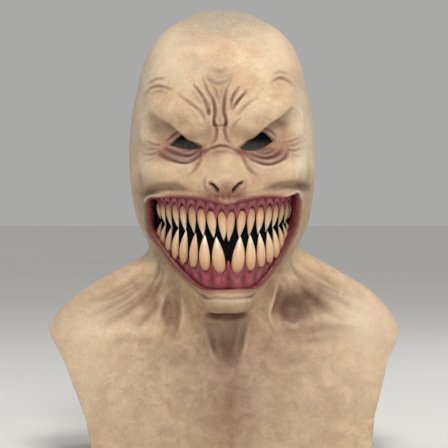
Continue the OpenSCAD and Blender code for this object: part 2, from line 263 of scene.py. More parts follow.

# A groove: its points, half width, depth, how much painted shade darkens it, and over how much of it the
# ends taper
GROOVES = [
    # frown
    ([(-23, 383), (-17.6, 369), (-12, 358.8), (-10.2, 346.8), (-11.2, 339.4), (-8.6, 332), (-9.3, 324.5),
      (-12, 318), (-20, 313.6)], 1.05, 2.4, 0.85, 1),
    ([(6.5, 382), (1, 370.8), (-0.9, 361.5), (-1.8, 348.6), (0.2, 339.4), (-1.2, 332), (1, 322.7),
      (5.6, 316.2), (13, 312.6)], 1.05, 2.4, 0.85, 1),
    ([(-11.4, 340), (-11, 336.6), (-9.8, 333.6)], 1.2, 1.5, 1, 0.5),
    ([(0.8, 340), (0.4, 336.6), (-0.8, 333.6)], 1.2, 1.5, 1, 0.5),
    ([(-10.6, 336), (-5.4, 334.4), (-0.4, 336)], 1, 1.2, 0.45, 0.4),
    ([(-32, 376), (-23.1, 364.3), (-18.5, 355), (-16.4, 346)], 1.15, 1.9, 0.75, 0.7),
    ([(-47, 367), (-34.2, 356.9), (-24.9, 348.6), (-20.3, 338.6)], 1.25, 1.5, 0.55),
    ([(-17.2, 352), (-16.2, 347.6), (-15.6, 344)], 1.3, 1.4, 0.9, 0.5),
    ([(14, 374), (6.5, 361.5), (4.6, 349)], 1.1, 1.8, 0.75, 0.7),
    ([(21.4, 369.6), (12, 358.8), (5.4, 348.6)], 1.15, 2, 0.9, 0.7),
    ([(31, 362.6), (18.6, 353.4), (10.6, 343.6)], 1.2, 1.2, 0.45),
    ([(-26, 352), (-20.6, 344), (-19.4, 336)], 1.1, 0.8, 0.35),
    ([(-15.4, 378), (-8.6, 366), (-6.6, 354)], 1.1, 0.8, 0.3),
    ([(2.6, 380), (-3.4, 368), (-5, 358)], 1.1, 0.7, 0.25),
    ([(16, 344), (8.6, 336), (7, 328)], 1.1, 0.8, 0.3),
    # lines over the brows
    ([(-79, 368.5), (-76.4, 373), (-69.8, 376.8), (-61.2, 375), (-50, 369.5)], 1.3, 1.4, 0.55),
    ([(-77, 380), (-67, 384), (-57, 382)], 1.3, 0.9, 0.5),
    ([(-72, 368), (-64, 371), (-55, 367.6)], 1.3, 0.7, 0.3),
    ([(44, 377), (51, 381.5), (56, 382.6), (64, 379), (67, 374)], 1.3, 1.4, 0.55),
    ([(46, 386), (55, 388.6), (64, 386.6)], 1.3, 1.1, 0.5),
    ([(-19, 384), (-14, 378.3), (-6.3, 375.6), (1.5, 378.3), (5.3, 384)], 1.6, 0.9, 0.4),
    ([(-16, 391), (-6, 388), (4, 391)], 1.6, 0.6, 0.3),
    # root and wings of the nose
    ([(-24, 308), (-15, 312.6), (-5, 315), (6, 313.4), (14.5, 308)], 1.15, 1.6, 0.75, 0.7),
    ([(-19.6, 288), (-21.6, 281), (-21, 274.5), (-17, 270)], 1.4, 1, 0.3),
    ([(17, 288), (18.6, 281), (17.8, 275), (13.5, 270.6)], 1.4, 1, 0.3),
    ([(-24.5, 309), (-25.4, 301), (-30, 292), (-38, 285)], 1.3, 1.5, 0.4, 0.8),
    ([(16, 309), (18, 301), (22.5, 292), (31, 284.5)], 1.3, 1.7, 0.5, 0.8),
    ([(-4.6, 269), (-4, 265), (-4.6, 261.6)], 1.1, 0.6, 0.3, 0.6),
    ([(1.6, 269), (1.4, 265), (2.4, 261.6)], 1.1, 0.6, 0.3, 0.6),
    # under the eyes
    ([(-67, 311.5), (-52, 302.2), (-38, 298.8), (-28, 304), (-22.8, 312.6)], 1.25, 1.7, 1, 0.8),
    ([(-62, 312), (-49, 305), (-37, 302), (-29, 306)], 1, 0.6, 0.35),
    ([(-61, 315.6), (-50, 309.4), (-36, 306), (-25.6, 311.6)], 1.15, 1.2, 1, 0.8),
    ([(-54, 312.6), (-45, 310), (-36, 309)], 0.9, 0.5, 0.5),
    ([(17.6, 311.5), (27, 301.5), (42, 297.6), (57, 304), (63, 313.4)], 1.25, 1.7, 1, 0.8),
    ([(22, 307.6), (31, 302.6), (42, 300.8), (53, 305.4)], 1, 0.6, 0.35),
    ([(20.4, 310.6), (30, 305.4), (43, 304), (56, 311)], 1.15, 1.2, 1, 0.8),
    ([(30, 308.8), (38, 307.6), (47, 310)], 0.9, 0.5, 0.5),
    ([(-64, 312.4), (-71, 310), (-80, 311.4)], 0.9, 0.8, 0.5, 0.8),
    ([(-66, 315.2), (-71, 315), (-77, 316.6)], 0.9, 0.5, 0.3),
    ([(-62, 318), (-70, 319.6), (-79, 325)], 0.9, 0.7, 0.45, 0.8),
    ([(-64, 322.6), (-68, 325.4), (-72, 329)], 0.9, 0.4, 0.25),
    ([(-68, 306.6), (-73, 304.4), (-78, 304.6)], 0.9, 0.5, 0.25),
    ([(60, 313.5), (67, 311.2), (77, 313.4)], 0.9, 0.8, 0.5, 0.8),
    ([(62, 316.6), (68, 316.4), (74, 318.4)], 0.9, 0.5, 0.3),
    ([(58, 319.6), (66, 320.6), (76, 325)], 0.9, 0.7, 0.4, 0.8),
    ([(64, 307.6), (69, 305.6), (74, 305.8)], 0.9, 0.5, 0.25),
    # lids
    ([(-60, 321), (-52, 327), (-43, 329.4)], 1.1, 1.1, 0.7, 0.7),
    ([(52, 324.6), (45, 331), (37.5, 332)], 1.1, 1.1, 0.7, 0.7),
    # cheeks
    ([(-83, 300), (-82, 284), (-80, 270)], 2.2, 1, 0.25),
    ([(83, 302), (83, 286), (80, 272)], 2.2, 1, 0.25),
    ([(-79, 277), (-62, 279.4), (-46, 276.6), (-34, 271)], 2.4, 1, 0.35),
    ([(80, 277.6), (62, 280), (46, 277.4), (35, 272)], 2.4, 1, 0.4),
    ([(-72, 273), (-58, 274.6), (-44, 271.6)], 1.2, 0.8, 0.5, 0.8),
    ([(72, 274), (58, 275.4), (44, 272.6)], 1.2, 0.8, 0.5, 0.8),
    # lower lip and chin
    ([(-31, 175), (-26, 170.6), (-19, 168), (-11, 169), (0.5, 168.6), (12, 169), (22, 169), (29, 173)],
     1.1, 1.1, 0.55, 0.4),
    ([(-32, 175.6), (-26, 170.8), (-18, 168)], 1.1, 1.2, 0.7, 0.7),
    ([(17, 168.8), (23, 169.4), (29.6, 173.4)], 1.1, 1.2, 0.7, 0.7),
    ([(-28, 171), (-23.6, 165), (-22, 158)], 1.8, 0.6, 0.2),
    ([(26, 171), (23.6, 165), (24, 158)], 1.8, 0.6, 0.2),
    ([(-22, 150), (-12, 148.4), (0, 147.8), (12, 148.4), (23, 150)], 1.9, 0.8, 1, 0.5),
    ([(-84, 240), (-76, 222), (-64, 205), (-50, 190)], 2.4, 1.2, 0.3),
    ([(82, 240), (73, 222), (61, 205), (47, 190)], 2.4, 1.2, 0.3),
    # throat and neck
    ([(-18, 144), (-15.6, 131), (-11.6, 115), (-5, 103)], 2.4, 1.6, 0.42),
    ([(19, 144), (16.4, 131), (13, 115), (7, 103)], 2.4, 1.6, 0.42),
    ([(-7, 143), (-4, 130), (-2, 116)], 2.2, 0.6, 0.2),
    ([(10, 143), (8, 130), (5, 116)], 2.2, 0.6, 0.2),
    ([(-62, 176), (-59.6, 164), (-61, 150), (-56, 134)], 2.6, 1.8, 0.5),
    ([(-51, 168), (-49.6, 156), (-50, 144), (-51, 133)], 1.8, 1.2, 0.45),
    ([(57, 180), (53, 166), (49, 152), (54, 140)], 2.4, 1.6, 0.5),
    ([(46, 172), (39, 160), (36.6, 148), (40, 136)], 2.2, 0.8, 0.2),
    ([(-37, 166), (-36, 154), (-33, 142), (-30, 130)], 2.2, 0.7, 0.15),
    # streaks from the neck over the shoulders
    ([(-73, 202), (-91, 187.5), (-114, 173), (-146, 159)], 2.8, 1.9, 0.3),
    ([(-71, 193), (-86, 179.4), (-106, 165), (-138, 148)], 2.8, 2.2, 0.42),
    ([(-69, 183.4), (-83, 167.3), (-102, 153), (-128, 137)], 2.8, 2.2, 0.4),
    ([(-66, 168), (-78, 151), (-95, 134)], 2.8, 1.8, 0.4),
    ([(-66, 206), (-68, 194), (-74, 182), (-80, 172)], 1.9, 1.8, 0.5),
    ([(-61, 198), (-64, 186), (-70, 174), (-78, 160)], 1.9, 1.6, 0.5),
    ([(-80, 188), (-100, 175), (-128, 163)], 1.8, 1.3, 0.4),
    ([(-78, 178), (-98, 163), (-124, 149)], 1.8, 1.3, 0.4),
    ([(67, 202), (86, 191), (111, 176.4), (142, 158)], 2.8, 1.9, 0.3),
    ([(68, 193.5), (88, 178.4), (111, 163), (149, 144)], 2.8, 2.2, 0.42),
    ([(71, 184), (84, 167), (101, 152), (124, 139)], 2.8, 1.9, 0.4),
    ([(64, 206), (67, 196), (76, 184), (88, 172)], 1.9, 1.8, 0.5),
    ([(78, 190), (98, 176), (128, 162)], 1.8, 1.3, 0.4),
    ([(52, 134), (78, 130), (104, 134), (134, 131)], 3.2, 1.3, 0.35),
    ([(60, 124), (86, 121), (112, 124)], 2.4, 0.9, 0.3),
    ([(-60, 128), (-86, 125), (-116, 130)], 3.2, 1, 0.22),
    # breast
    ([(0, 92), (1, 66), (0, 26)], 3, 0.7, 0.15),
    ([(-16, 88), (-13, 62), (-18, 34)], 3, 0.4, 0.08),
    ([(21, 88), (18, 62), (23, 34)], 3, 0.4, 0.08),
]

# A ridge: its points, half width and height; each gets a painted highlight along it
RIDGES = [
    ([(-15.5, 372), (-14, 355), (-14.4, 340), (-13, 326), (-17, 318.6)], 2.4, 1.6),
    ([(-5.6, 366), (-6, 350), (-5.6, 340)], 2.8, 1.4),
    ([(-5.6, 331), (-5, 322), (-4.6, 317)], 3, 1.2),
    ([(5, 372), (3.6, 355), (4, 340), (3, 326), (9, 318.4)], 2.4, 1.6),
    ([(-27, 370), (-20, 358), (-18, 348)], 1.9, 0.9),
    ([(17, 369), (9, 358), (6, 350)], 1.9, 0.9),
    ([(-62, 307.6), (-50, 302), (-37, 299), (-27, 304)], 1.5, 1),
    ([(21, 306), (31, 300.6), (43, 298.6), (57, 305)], 1.5, 1),
    ([(-75, 353), (-80, 343), (-81, 330), (-79, 320)], 3.2, 2.6),
    ([(67, 355), (74, 349), (77, 338), (76.4, 328), (78, 320)], 3.2, 3),
    ([(-55, 178), (-63.6, 164), (-67.4, 150), (-71, 136)], 2, 2.6),
    ([(-46, 178), (-43, 162), (-42.6, 146), (-46, 134), (-52, 126)], 2.2, 3),
    ([(54, 191), (48.6, 172), (44, 156), (43, 146), (50, 134), (60, 129)], 2.4, 3.6),
    ([(57, 203), (60, 190), (67, 178)], 2.2, 1.8),
    ([(-57, 203), (-60, 190), (-66, 176)], 2.2, 1.6),
    ([(58, 143), (64, 138), (72, 134)], 2.4, 1.6),
    ([(-23, 144), (-20, 131), (-16, 115), (-10, 101)], 3.2, 1.6),
    ([(24, 144), (21, 131), (18, 115), (12, 101)], 3.2, 1.6),
    ([(72, 190), (92, 176), (118, 160), (150, 142)], 5, 2),
    ([(-73, 188), (-92, 172), (-115, 157), (-142, 141)], 5, 2),
]

# A ledge: its points, drawn so that the swollen side lies to its left, then the height and reach of the
# swelling, and the depth and reach of the hollow on its other side, which gets painted shade
LEDGES = [
    ([(-74.5, 353), (-61, 344.4), (-47, 332), (-38, 324), (-29.5, 319), (-21.5, 315.6)], 5, 9, 5.5, 8),
    ([(13.2, 315.4), (20.5, 319.8), (28, 325.2), (37, 332.6), (46.6, 340.2), (57, 348.6), (67.5, 355)],
     5, 9, 5.5, 8),
    ([(-80, 277), (-64, 279), (-46, 276), (-36, 271)], 1.8, 9, 1.6, 6),
    ([(36, 271.6), (45, 277), (62, 280), (80, 277.6)], 1.8, 9, 1.6, 6),
]

NOSTRILS = [[(-15.8, 278), (-12.6, 275.8), (-9, 271.8)], [(14, 279), (9.8, 276), (5.6, 271.6)]]

# The nape and the back: creases seen from behind, (x, z)
NAPE = [
    ([(-58, 232), (-30, 227), (0, 225.5), (30, 227), (58, 232)], 3, 2.2, 0.5),
    ([(-48, 247), (-24, 243), (0, 241.8), (24, 243), (48, 247)], 3, 1.8, 0.4),
    ([(-40, 262), (-18, 259), (0, 258), (18, 259), (40, 262)], 3, 1.1, 0.3),
    ([(-38, 196), (-52, 176), (-84, 160), (-120, 150)], 5, 1.8, 0.4),
    ([(38, 196), (52, 176), (84, 160), (120, 150)], 5, 1.8, 0.4),
    ([(-44, 150), (-56, 120), (-60, 80), (-56, 40)], 7, 2.2, 0.3),
    ([(44, 150), (56, 120), (60, 80), (56, 40)], 7, 2.2, 0.3),
]
BACK_FORMS = [(-92, 88, 40, 46, 6), (92, 88, 40, 46, 6), (-26, 208, 14, 34, 3), (26, 208, 14, 34, 3)]


LATTICE = 32   # the noise repeats after this many of its cells


def noise(p, scale, seed):
    """Smooth value noise from -1 to 1 at points p, with features about scale millimetres across."""
    table = np.random.default_rng(seed).random((LATTICE, LATTICE, LATTICE))
    q = p / scale + 11.3
    i = np.floor(q).astype(int)
    f = step_up(q - i)
    total = 0
    for corner in itertools.product((0, 1), repeat=3):
        share = np.prod(np.where(corner, f, 1 - f), axis=-1)
        at = (i + corner) % LATTICE
        total = total + share * table[at[..., 0], at[..., 1], at[..., 2]]
    return 2 * total - 1


def near_box(x, z, line, reach):
    lo, hi = line.min(0) - reach, line.max(0) + reach
    return (x > lo[0]) & (x < hi[0]) & (z > lo[1]) & (z < hi[1])


def tapered(t, share, power):
    """1 along a line and 0 at its ends, where t is how far along it lies."""
    return np.clip(np.minimum(t, 1 - t) / share, 0, 1) ** power


class Relief:
    """What is sculpted and painted on the skin, at points with coordinates x and z on one face of it. dark
    is painted shade in creases and hollows, light is painted highlights on raised parts.
    """

    def __init__(self, x, z):
        self.x, self.z = x, z
        self.forms, self.fine, self.dark, self.light = (np.zeros_like(x) for _ in range(4))

    def near(self, points, reach, step=1.6):
        """The points near a line, and their distance from it, side of it and place along it."""
        line = curve(points, step)
        m = near_box(self.x, self.z, line, reach)
        return m, *nearest(self.x[m], self.z[m], line)

    def near_edge(self, ring, reach):
        """The points near an opening and their signed distance from its edge."""
        m = near_box(self.x, self.z, ring, reach)
        return m, signed(self.x[m], self.z[m], ring)

    # Painted shade: darker paint in creases and hollows, where shade falls.
    def darken(self, m, amount):
        self.dark[m] = np.maximum(self.dark[m], amount)

    # Painted highlight: paler paint on raised parts, where light falls.
    def lighten(self, m, amount):
        self.light[m] = np.maximum(self.light[m], amount)

    def form(self, x, z, across, up, height):
        self.forms += height * bell((self.x - x) / across) * bell((self.z - z) / up)

    def groove(self, points, half, depth, dark, taper=0.9):
        m, d, _, t = self.near(points, 5 * half)
        ends = tapered(t, 0.5 * taper, 0.6)
        s = d / half
        self.fine[m] += ends * depth * (0.42 * bell((s - 2.3) / 1.3) - bell(s))
        # Painted shade down the groove, and a painted highlight on the low ridge beside a narrow one.
        self.darken(m, dark * ends * bell(s / 1.15))
        if half < 1.7:
            self.lighten(m, 0.5 * dark * ends * bell(s - 2.6))

    def ridge(self, points, half, height):
        m, d, _, t = self.near(points, 4 * half)
        swell = tapered(t, 0.35, 0.7) * bell(d / half)
        self.fine[m] += swell * height
        # A painted highlight along the ridge's crest.
        self.lighten(m, 0.35 * swell)

    def ledge(self, points, high, high_reach, low, low_reach):
        m, d, side, t = self.near(points, 3 * max(high_reach, low_reach))
        ends = tapered(t, 0.25, 0.8)
        s = d * side
        up = step_up(0.5 + s / 4.5)
        self.fine[m] += ends * (high * bell(s / high_reach) * up - low * bell(s / low_reach) * (1 - up))
        # Painted shade in the hollow below the swollen side.
        self.darken(m, 0.34 * ends * np.where(s < 0, bell((d - 1) / 4.5), 0))

    def nostril(self, points):
        m, d, _, _ = self.near(points, 10, 0.8)
        self.fine[m] += 0.9 * bell((d - 3) / 1.5) - 4.2 * bell(d / 1.25)
        # Painted shade deep in the nostril.
        self.darken(m, 1.6 * bell(d / 1.3))

    def lips(self):
        """The rolled edge of the mouth, with painted highlights at its corners and painted shade along the
        rest of its edge.
        """
        m, d = self.near_edge(MOUTH, 14)
        self.fine[m] += 1.4 * bell((d - 1.5) / 1.6) - 0.9 * bell((d - 5.4) / 2.2)
        corner = step_up((np.abs(self.x[m] + 1) - 50) / 16) * step_up((self.z[m] - 262) / 4)
        self.lighten(m, 1.3 * corner * bell((d - 1.6) / 0.8))
        self.darken(m, 0.5 * (1 - corner) * bell((d - 0.1) / 0.8))

    def lids(self, ring):
        m, d = self.near_edge(ring, 22)
        self.fine[m] += 1.4 * bell((d - 1) / 1.5)
        # Painted shade along the rim of the eye hole.
        self.darken(m, 0.5 * bell((d - 0.2) / 1.1))


def sculpt_front(x, z):
    r = Relief(x, z)
    for f in FORMS:
        r.form(*f)
    for g in GROOVES:
        r.groove(*g)
    for g in RIDGES:
        r.ridge(*g)
    for g in LEDGES:
        r.ledge(*g)
    for points in NOSTRILS:
        r.nostril(points)
    r.lips()
    pleats(r)
    for ring in (LEFT_EYE, RIGHT_EYE):
        r.lids(ring)
    return r


def pleats(r):
    """Fine upright pleats over the upper lip and the cheek folds, with painted shade in their troughs."""
    x, z = r.x, r.z
    drift = noise(np.stack([x, x * 0, z], -1), 9, 8)
    wave = np.cos(2 * math.pi * (x / 3.6 + 0.6 * drift))
    where = (bell((z - 268) / 6) * bell(x / 46) * 0.7 + bell((z - 280) / 5) * bell((np.abs(x) - 60) / 20)
             + 0.5 * bell((z - 172) / 9) * bell(x / 34))
    r.fine += 0.28 * where * wave
    # Painted shade in the troughs of the pleats.
    r.dark = np.maximum(r.dark, 0.2 * where * np.clip(-wave, 0, 1) ** 2)


def sculpt_back(x, z):
    r = Relief(x, z)
    for f in BACK_FORMS:
        r.form(*f)
    for g in NAPE:
        r.groove(*g)
    return r


# ------------------------------------------------------------------ the skin's net
def steps(stops):
    """Values from stop to stop, where each stop gives (value, spacing up to the next one)."""
    out = []
    for (a, gap), (b, _) in zip(stops[:-1], stops[1:]):
        n = max(1, round(abs(b - a) / gap))
        out += list(a + (b - a) * np.arange(n) / n)
    return np.array(out + [stops[-1][0]])


def skin_net():
    phi = np.radians(steps([(-180, 2.8), (-110, 2.1), (-76, 1.17), (-48, 0.8), (-20, 0.555), (20, 0.8),
                            (48, 1.17), (76, 2.1), (110, 2.8), (180, 1)])[:-1])
    z = steps([(0, 6), (90, 2.6), (140, 1.3), (146, 0.75), (156, 1.2), (190, 1.9), (256, 1.25), (296, 0.9),
               (386, 1.8), (398, 3), (425, 2.2), (442, 1.4), (452, 0.8), (458, 0.45), (459.8, 1)])
    p, h = np.meshgrid(phi, z)
    r = base_radius(p, h)
    pos = np.stack([r * np.sin(p), -r * np.cos(p), h], -1)
    return p, pos


def net_normals(pos):
    """Outward normals of a closed-round net, rows upwards."""
    around = np.roll(pos, -1, 1) - np.roll(pos, 1, 1)
    up = np.gradient(pos, axis=0)
    n = np.cross(around, up)
    return n / np.maximum(np.linalg.norm(n, axis=-1, keepdims=True), 1e-9)


def lean(z):
    """The head leans a little to the viewer's left."""
    return -2.6 * step_up((z - 215) / 110)


def shoulder_drop(x, z):
    """The left shoulder hangs a little lower than the right one."""
    drop = -3.2 * bell((x + 105) / 50) + 1.6 * bell((x - 95) / 40) + 2.6 * bell((x - 160) / 28)
    return drop * step_up((z - 40) / 80) * step_up((np.abs(x) - 35) / 45)


def make_skin_fields():
    phi, pos = skin_net()
    n = net_normals(pos)
    front = step_up((np.cos(phi) + 0.05) / 0.3)
    back = step_up((-np.cos(phi) - 0.02) / 0.3)
    x, z = pos[..., 0], pos[..., 2]
    f = sculpt_front(x, z)
    b = sculpt_back(x, z)
    forms = front * f.forms + back * b.forms
    forms *= step_up(z / 12 + 0.35)
    fine = front * f.fine + back * b.fine
    lumps = 0.55 * noise(pos, 26, 1) + 0.3 * noise(pos, 11, 2) + 0.16 * noise(pos, 5, 3)
    crown = step_up((TOP_Z - z) / 30)
    fine += lumps * crown * step_up(z / 10)
    soft = pos + n * forms[..., None]
    m = net_normals(soft)
    outer = soft + m * fine[..., None]
    normal = net_normals(outer)
    behind_grooves = np.maximum(0, -fine - 1.2)
    inner = soft - m * (WALL + behind_grooves)[..., None]
    inner[..., 2] = np.where(z < 0.01, 0, inner[..., 2])
    outer[..., 2] = np.where(z < 0.01, 0, outer[..., 2])
    for q in (outer, inner):
        q[..., 2] += shoulder_drop(q[..., 0], q[..., 2])
        q[..., 0] += lean(q[..., 2])
    # dark carries painted shade and light carries painted highlights, from the front and the back.
    return {"outer": outer, "inner": inner, "normal": normal, "x": x, "z": z, "front": front,
            "dark": front * f.dark + back * b.dark, "light": front * f.light + back * b.light}


def arm_field(x, z, line):
    """Signed distance to an armhole's edge, positive on the kept side."""
    sign = np.sign(line[0][0])
    d, side, _ = nearest(x, z, line)
    return np.where(z > line[0][1], np.maximum(d, 1), np.where(sign > 0, -side, side) * d)


def openings(s):
    """For each net point: how far it is inside the kept skin, and which opening is nearest."""
    x, z = s["x"], s["z"]
    y = s["outer"][..., 1]
    far = np.full(x.shape, 99.0)
    fields = []
    for ring in (MOUTH, LEFT_EYE, RIGHT_EYE):
        f = far.copy()
        m = near_box(x, z, ring, 14) & (y < -12)
        f[m] = signed(x[m], z[m], ring)
        fields.append(f)
    for line, sign in ((LEFT_ARM, -1), (RIGHT_ARM, 1)):
        f = far.copy()
        m = (x * sign > 110) & (z < line[0][1])
        f[m] = arm_field(x[m], z[m], line)
        fields.append(f)
    f = far.copy()
    m = (y > 30) & (np.abs(x) < 30) & (z < SLIT_TOP + 30)
    over = np.maximum(z[m] - (SLIT_TOP - SLIT_HALF), 0)
    f[m] = np.hypot(x[m], over) - SLIT_HALF
    fields.append(f)
    fields = np.stack(fields)
    return fields.min(0), fields.argmin(0)


# The kinds of edge: the openings in their order above, and the hem
MOUTH_RIM, ARM_RIMS, HEM_RIM = 0, (3, 4), -1
# Paint added on the mouth's rim: painted shade in the first and third columns, pink in the second.
MOUTH_EDGE = np.array([0.3, 0.9, 0.1, 0, 0, 0])
RIM_POINTS = 7


class Clip:
    """A net cut along d = 0, where it is kept for positive d.

    Each corner in parts is two net points and the share between them. The faces come as lists of corners:
    fine for the outer side, and merged two by two for the inner side wherever nothing is cut.
    """

    def __init__(self, d):
        self.cols = d.shape[1]
        self.d = d.copy().ravel()
        self.index = np.arange(d.size).reshape(d.shape)
        self.right = np.roll(self.index, -1, 1)
        self.corners, self.parts, self.snapped = {}, [], {}
        self.snap()
        quads = np.stack([self.index[:-1], self.right[:-1], self.right[1:], self.index[1:]], -1)
        q = self.d[quads]
        self.whole = (q >= 0).all(-1) & ~(q == 0).all(-1)
        self.mixed = ~self.whole & (q > 0).any(-1)
        self.quads = quads
        self.faces = [[self.place(v) for v in quad] for quad in quads[self.whole].tolist()]
        self.cut = [c for c in map(self.cut_face, quads[self.mixed].tolist()) if len(c) > 2]
        self.faces += self.cut

    def snap(self):
        """Moves net points onto the cut where it passes close by, so that no slivers form."""
        up = np.vstack([self.index[1:], self.index[-1:]])
        a = self.index.ravel()
        pull = {}
        for other in (self.right.ravel(), up.ravel()):
            cross = (self.d[a] * self.d[other] < 0) & (a != other)
            for i, j in zip(a[cross].tolist(), other[cross].tolist()):
                t = self.d[i] / (self.d[i] - self.d[j])
                for v, w, share in ((i, j, t), (j, i, 1 - t)):
                    if share < 0.3 and (v not in pull or share < pull[v][1]):
                        pull[v] = (w, share)
        self.snapped = pull
        for v in pull:
            self.d[v] = 0.0

    def corner(self, key, part):
        if key not in self.corners:
            self.corners[key] = len(self.parts)
            self.parts.append(part)
        return self.corners[key]

    def place(self, v):
        if v in self.snapped:
            return self.corner(v, (v, *self.snapped[v]))
        return self.corner(v, (v, v, 0.0))

    def cut_face(self, quad):
        face = []
        for i, j in zip(quad, quad[1:] + quad[:1]):
            if self.d[i] >= 0:
                face.append(self.place(i))
            if self.d[i] * self.d[j] < 0:
                a, b = min(i, j), max(i, j)
                face.append(self.corner((a, b), (a, b, self.d[a] / (self.d[a] - self.d[b]))))
        return face

    def merged(self):
        """The kept faces with each untouched block of two by two drawn as one."""
        rows, cols = self.whole.shape
        even = rows - rows % 2
        plain = self.whole & (self.d[self.quads] > 0).all(-1)
        block = plain[:even].reshape(even // 2, 2, cols // 2, 2).all((1, 3))
        block[0] = False
        block[-1] = False
        faces = []
        for i, j in zip(*np.nonzero(block)):
            r, c = 2 * i, 2 * j
            walk = [(r, c, True), (r, c + 1, block[i - 1, j]), (r, c + 2, True),
                    (r + 1, c + 2, block[i, (j + 1) % block.shape[1]]), (r + 2, c + 2, True),
                    (r + 2, c + 1, block[i + 1, j]), (r + 2, c, True), (r + 1, c, block[i, j - 1])]
            kept = [(y, x) for n, (y, x, merged) in enumerate(walk) if n % 2 == 0 or not merged]
            faces.append([self.place(int(self.index[y, x % self.cols])) for y, x in kept])
        fine = self.whole.copy()
        fine[:even] &= ~np.repeat(np.repeat(block, 2, 0), 2, 1)
        faces += [[self.place(v) for v in quad] for quad in self.quads[fine].tolist()]
        return faces + self.cut


def blend_rows(values, parts):
    """A net's values at the corners of the clipped net."""
    flat = values.reshape(-1, *values.shape[2:])
    a, b, t = (np.array(c) for c in zip(*parts))
    t = t.reshape(-1, *[1] * (flat.ndim - 1))
    return flat[a] * (1 - t) + flat[b] * t


def boundary_edges(faces):
    """Edges that only one face uses, in that face's direction."""
    seen = {}
    for f in faces:
        for a, b in zip(f, f[1:] + f[:1]):
            seen[(a, b)] = True
    return [(a, b) for a, b in seen if (b, a) not in seen]


def node_attribute(mesh, name, values):
    """values: one row of three numbers for each vertex."""
    attribute = mesh.attributes.new(name, "FLOAT_COLOR", "POINT")
    rgba = np.ones((len(mesh.vertices), 4), np.float32)
    rgba[:, : values.shape[1]] = values
    attribute.data.foreach_set("color", rgba.ravel())


def add_mesh(name, verts, faces, material, slot, paint=None):
    """A piece from points in millimetres. paint is a table of attribute name to rows of up to 3 numbers."""
    mesh = bpy.data.meshes.new(name)
    mesh.from_pydata([tuple(v) for v in np.asarray(verts, float) * MM], [], faces)
    mesh.validate()
    mesh.polygons.foreach_set("use_smooth", np.ones(len(mesh.polygons), bool))
    for key, values in (paint or {}).items():
        node_attribute(mesh, key, np.asarray(values, float))
    obj = link(name, mesh)
    obj.data.materials.append(material)
    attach(obj, "mask")
    return obj


# Painted patches of a colour: strength, x, z, spread across, spread up
PINK = [(2.3, -42, 308, 20, 7), (2, 40, 308, 20, 7), (0.5, -1, 273, 16, 6), (0.25, 0, 286, 12, 12),
        (0.9, 0, 266, 46, 5), (0.6, -64, 317, 12, 8), (0.6, 61, 318, 12, 8), (0.6, -44, 325, 20, 5),
        (0.6, 40, 328, 18, 5), (0.6, -5, 328, 13, 22), (0.55, -8, 360, 22, 14), (0.45, 2, 60, 30, 60),
        (0.35, 1, 120, 14, 20), (1, -24, 311, 6, 5), (1, 15, 310, 6, 5), (0.3, -60, 276, 30, 8),
        (0.3, 60, 277, 30, 8), (0.3, 50, 120, 40, 18), (0.25, -100, 160, 50, 16), (0.3, -56, 140, 12, 20),
        (0.5, -28, 297, 5, 10), (0.5, 24, 295, 5, 10), (0.3, 72, 384, 12, 8)]
# Painted shade: brown patches in the hollows by the eyes, nose and mouth, under the chin, in the neck and
# over the chest, where shade falls.
PAINTED_SHADE = [(0.75, 60, 336, 9, 10), (0.5, -40, 320, 20, 8), (0.7, 34, 322, 20, 8), (0.9, -43, 307, 18, 6),
         (0.9, 41, 306, 18, 6), (0.7, -22, 313, 5, 4), (0.7, 13, 312, 5, 4), (0.8, -55, 148, 7, 18),
         (0.9, 60, 155, 9, 12), (0.8, 69, 150, 10, 9), (0.9, 78, 153, 25, 16), (1.6, 0, 148, 19, 3.8),
         (0.35, 0, 160, 24, 8), (0.6, 1, 107, 8, 9), (0.7, -79, 252, 9, 34), (0.55, 81, 252, 9, 34),
         (0.7, -60, 275, 20, 4.5), (1, 60, 275, 20, 5), (0.9, -76, 272, 8, 4), (0.9, 78, 276, 9, 5),
         (0.7, -76, 172, 22, 20), (0.8, 84, 170, 26, 18), (0.4, -52, 182, 12, 22), (0.6, 50, 182, 12, 22),
         (0.3, 90, 130, 46, 8), (0.25, 3, 44, 22, 60), (0.25, -5, 384, 18, 12), (0.35, -46, 337, 20, 5),
         (0.5, -52, 341, 16, 7), (0.3, 30, 287, 12, 9), (0.45, 42, 340, 20, 5), (0.72, 0, 84, 105, 66),
         (0.3, -8, 350, 14, 24), (0.8, -4, 310, 13, 4), (0.3, -60, 205, 10, 20), (0.3, 57, 205, 10, 20),
         (0.4, -45, 112, 30, 14), (0.3, 48, 108, 30, 14)]
GREY = [(0.6, -6, 380, 11, 8), (0.5, 88, 272, 9, 20), (0.5, -26, 392, 12, 8)]
# Painted highlights: pale patches on the crown, brows, cheeks, chin, throat and shoulders, where light
# falls.
PAINTED_HIGHLIGHTS = [(0.9, -56, 415, 18, 24), (0.9, 52, 415, 18, 24), (0.3, -44, 350, 20, 8), (0.5, 30, 352, 20, 8),
        (0.4, -1, 288, 12, 14), (0.5, -70, 296, 14, 9), (0.9, 70, 297, 12, 10), (0.6, -54, 388, 26, 14),
        (0.3, 40, 394, 26, 12), (0.8, -140, 146, 44, 22), (1.4, 146, 146, 44, 24), (0.5, 84, 330, 12, 24),
        (0.5, -140, 100, 30, 40), (0.5, 140, 100, 30, 40), (0.6, 78, 272, 6, 4), (0.8, 70, 341, 7, 10),
        (0.4, 0, 163, 18, 4), (0.5, 0, 134, 8, 9), (0.7, 54, 184, 4, 10)]


def patches(table, s):
    x, z = s["x"], s["z"]
    total = sum(k * bell((x - px) / across) * bell((z - pz) / up) for k, px, pz, across, up in table)
    return total * s["front"]


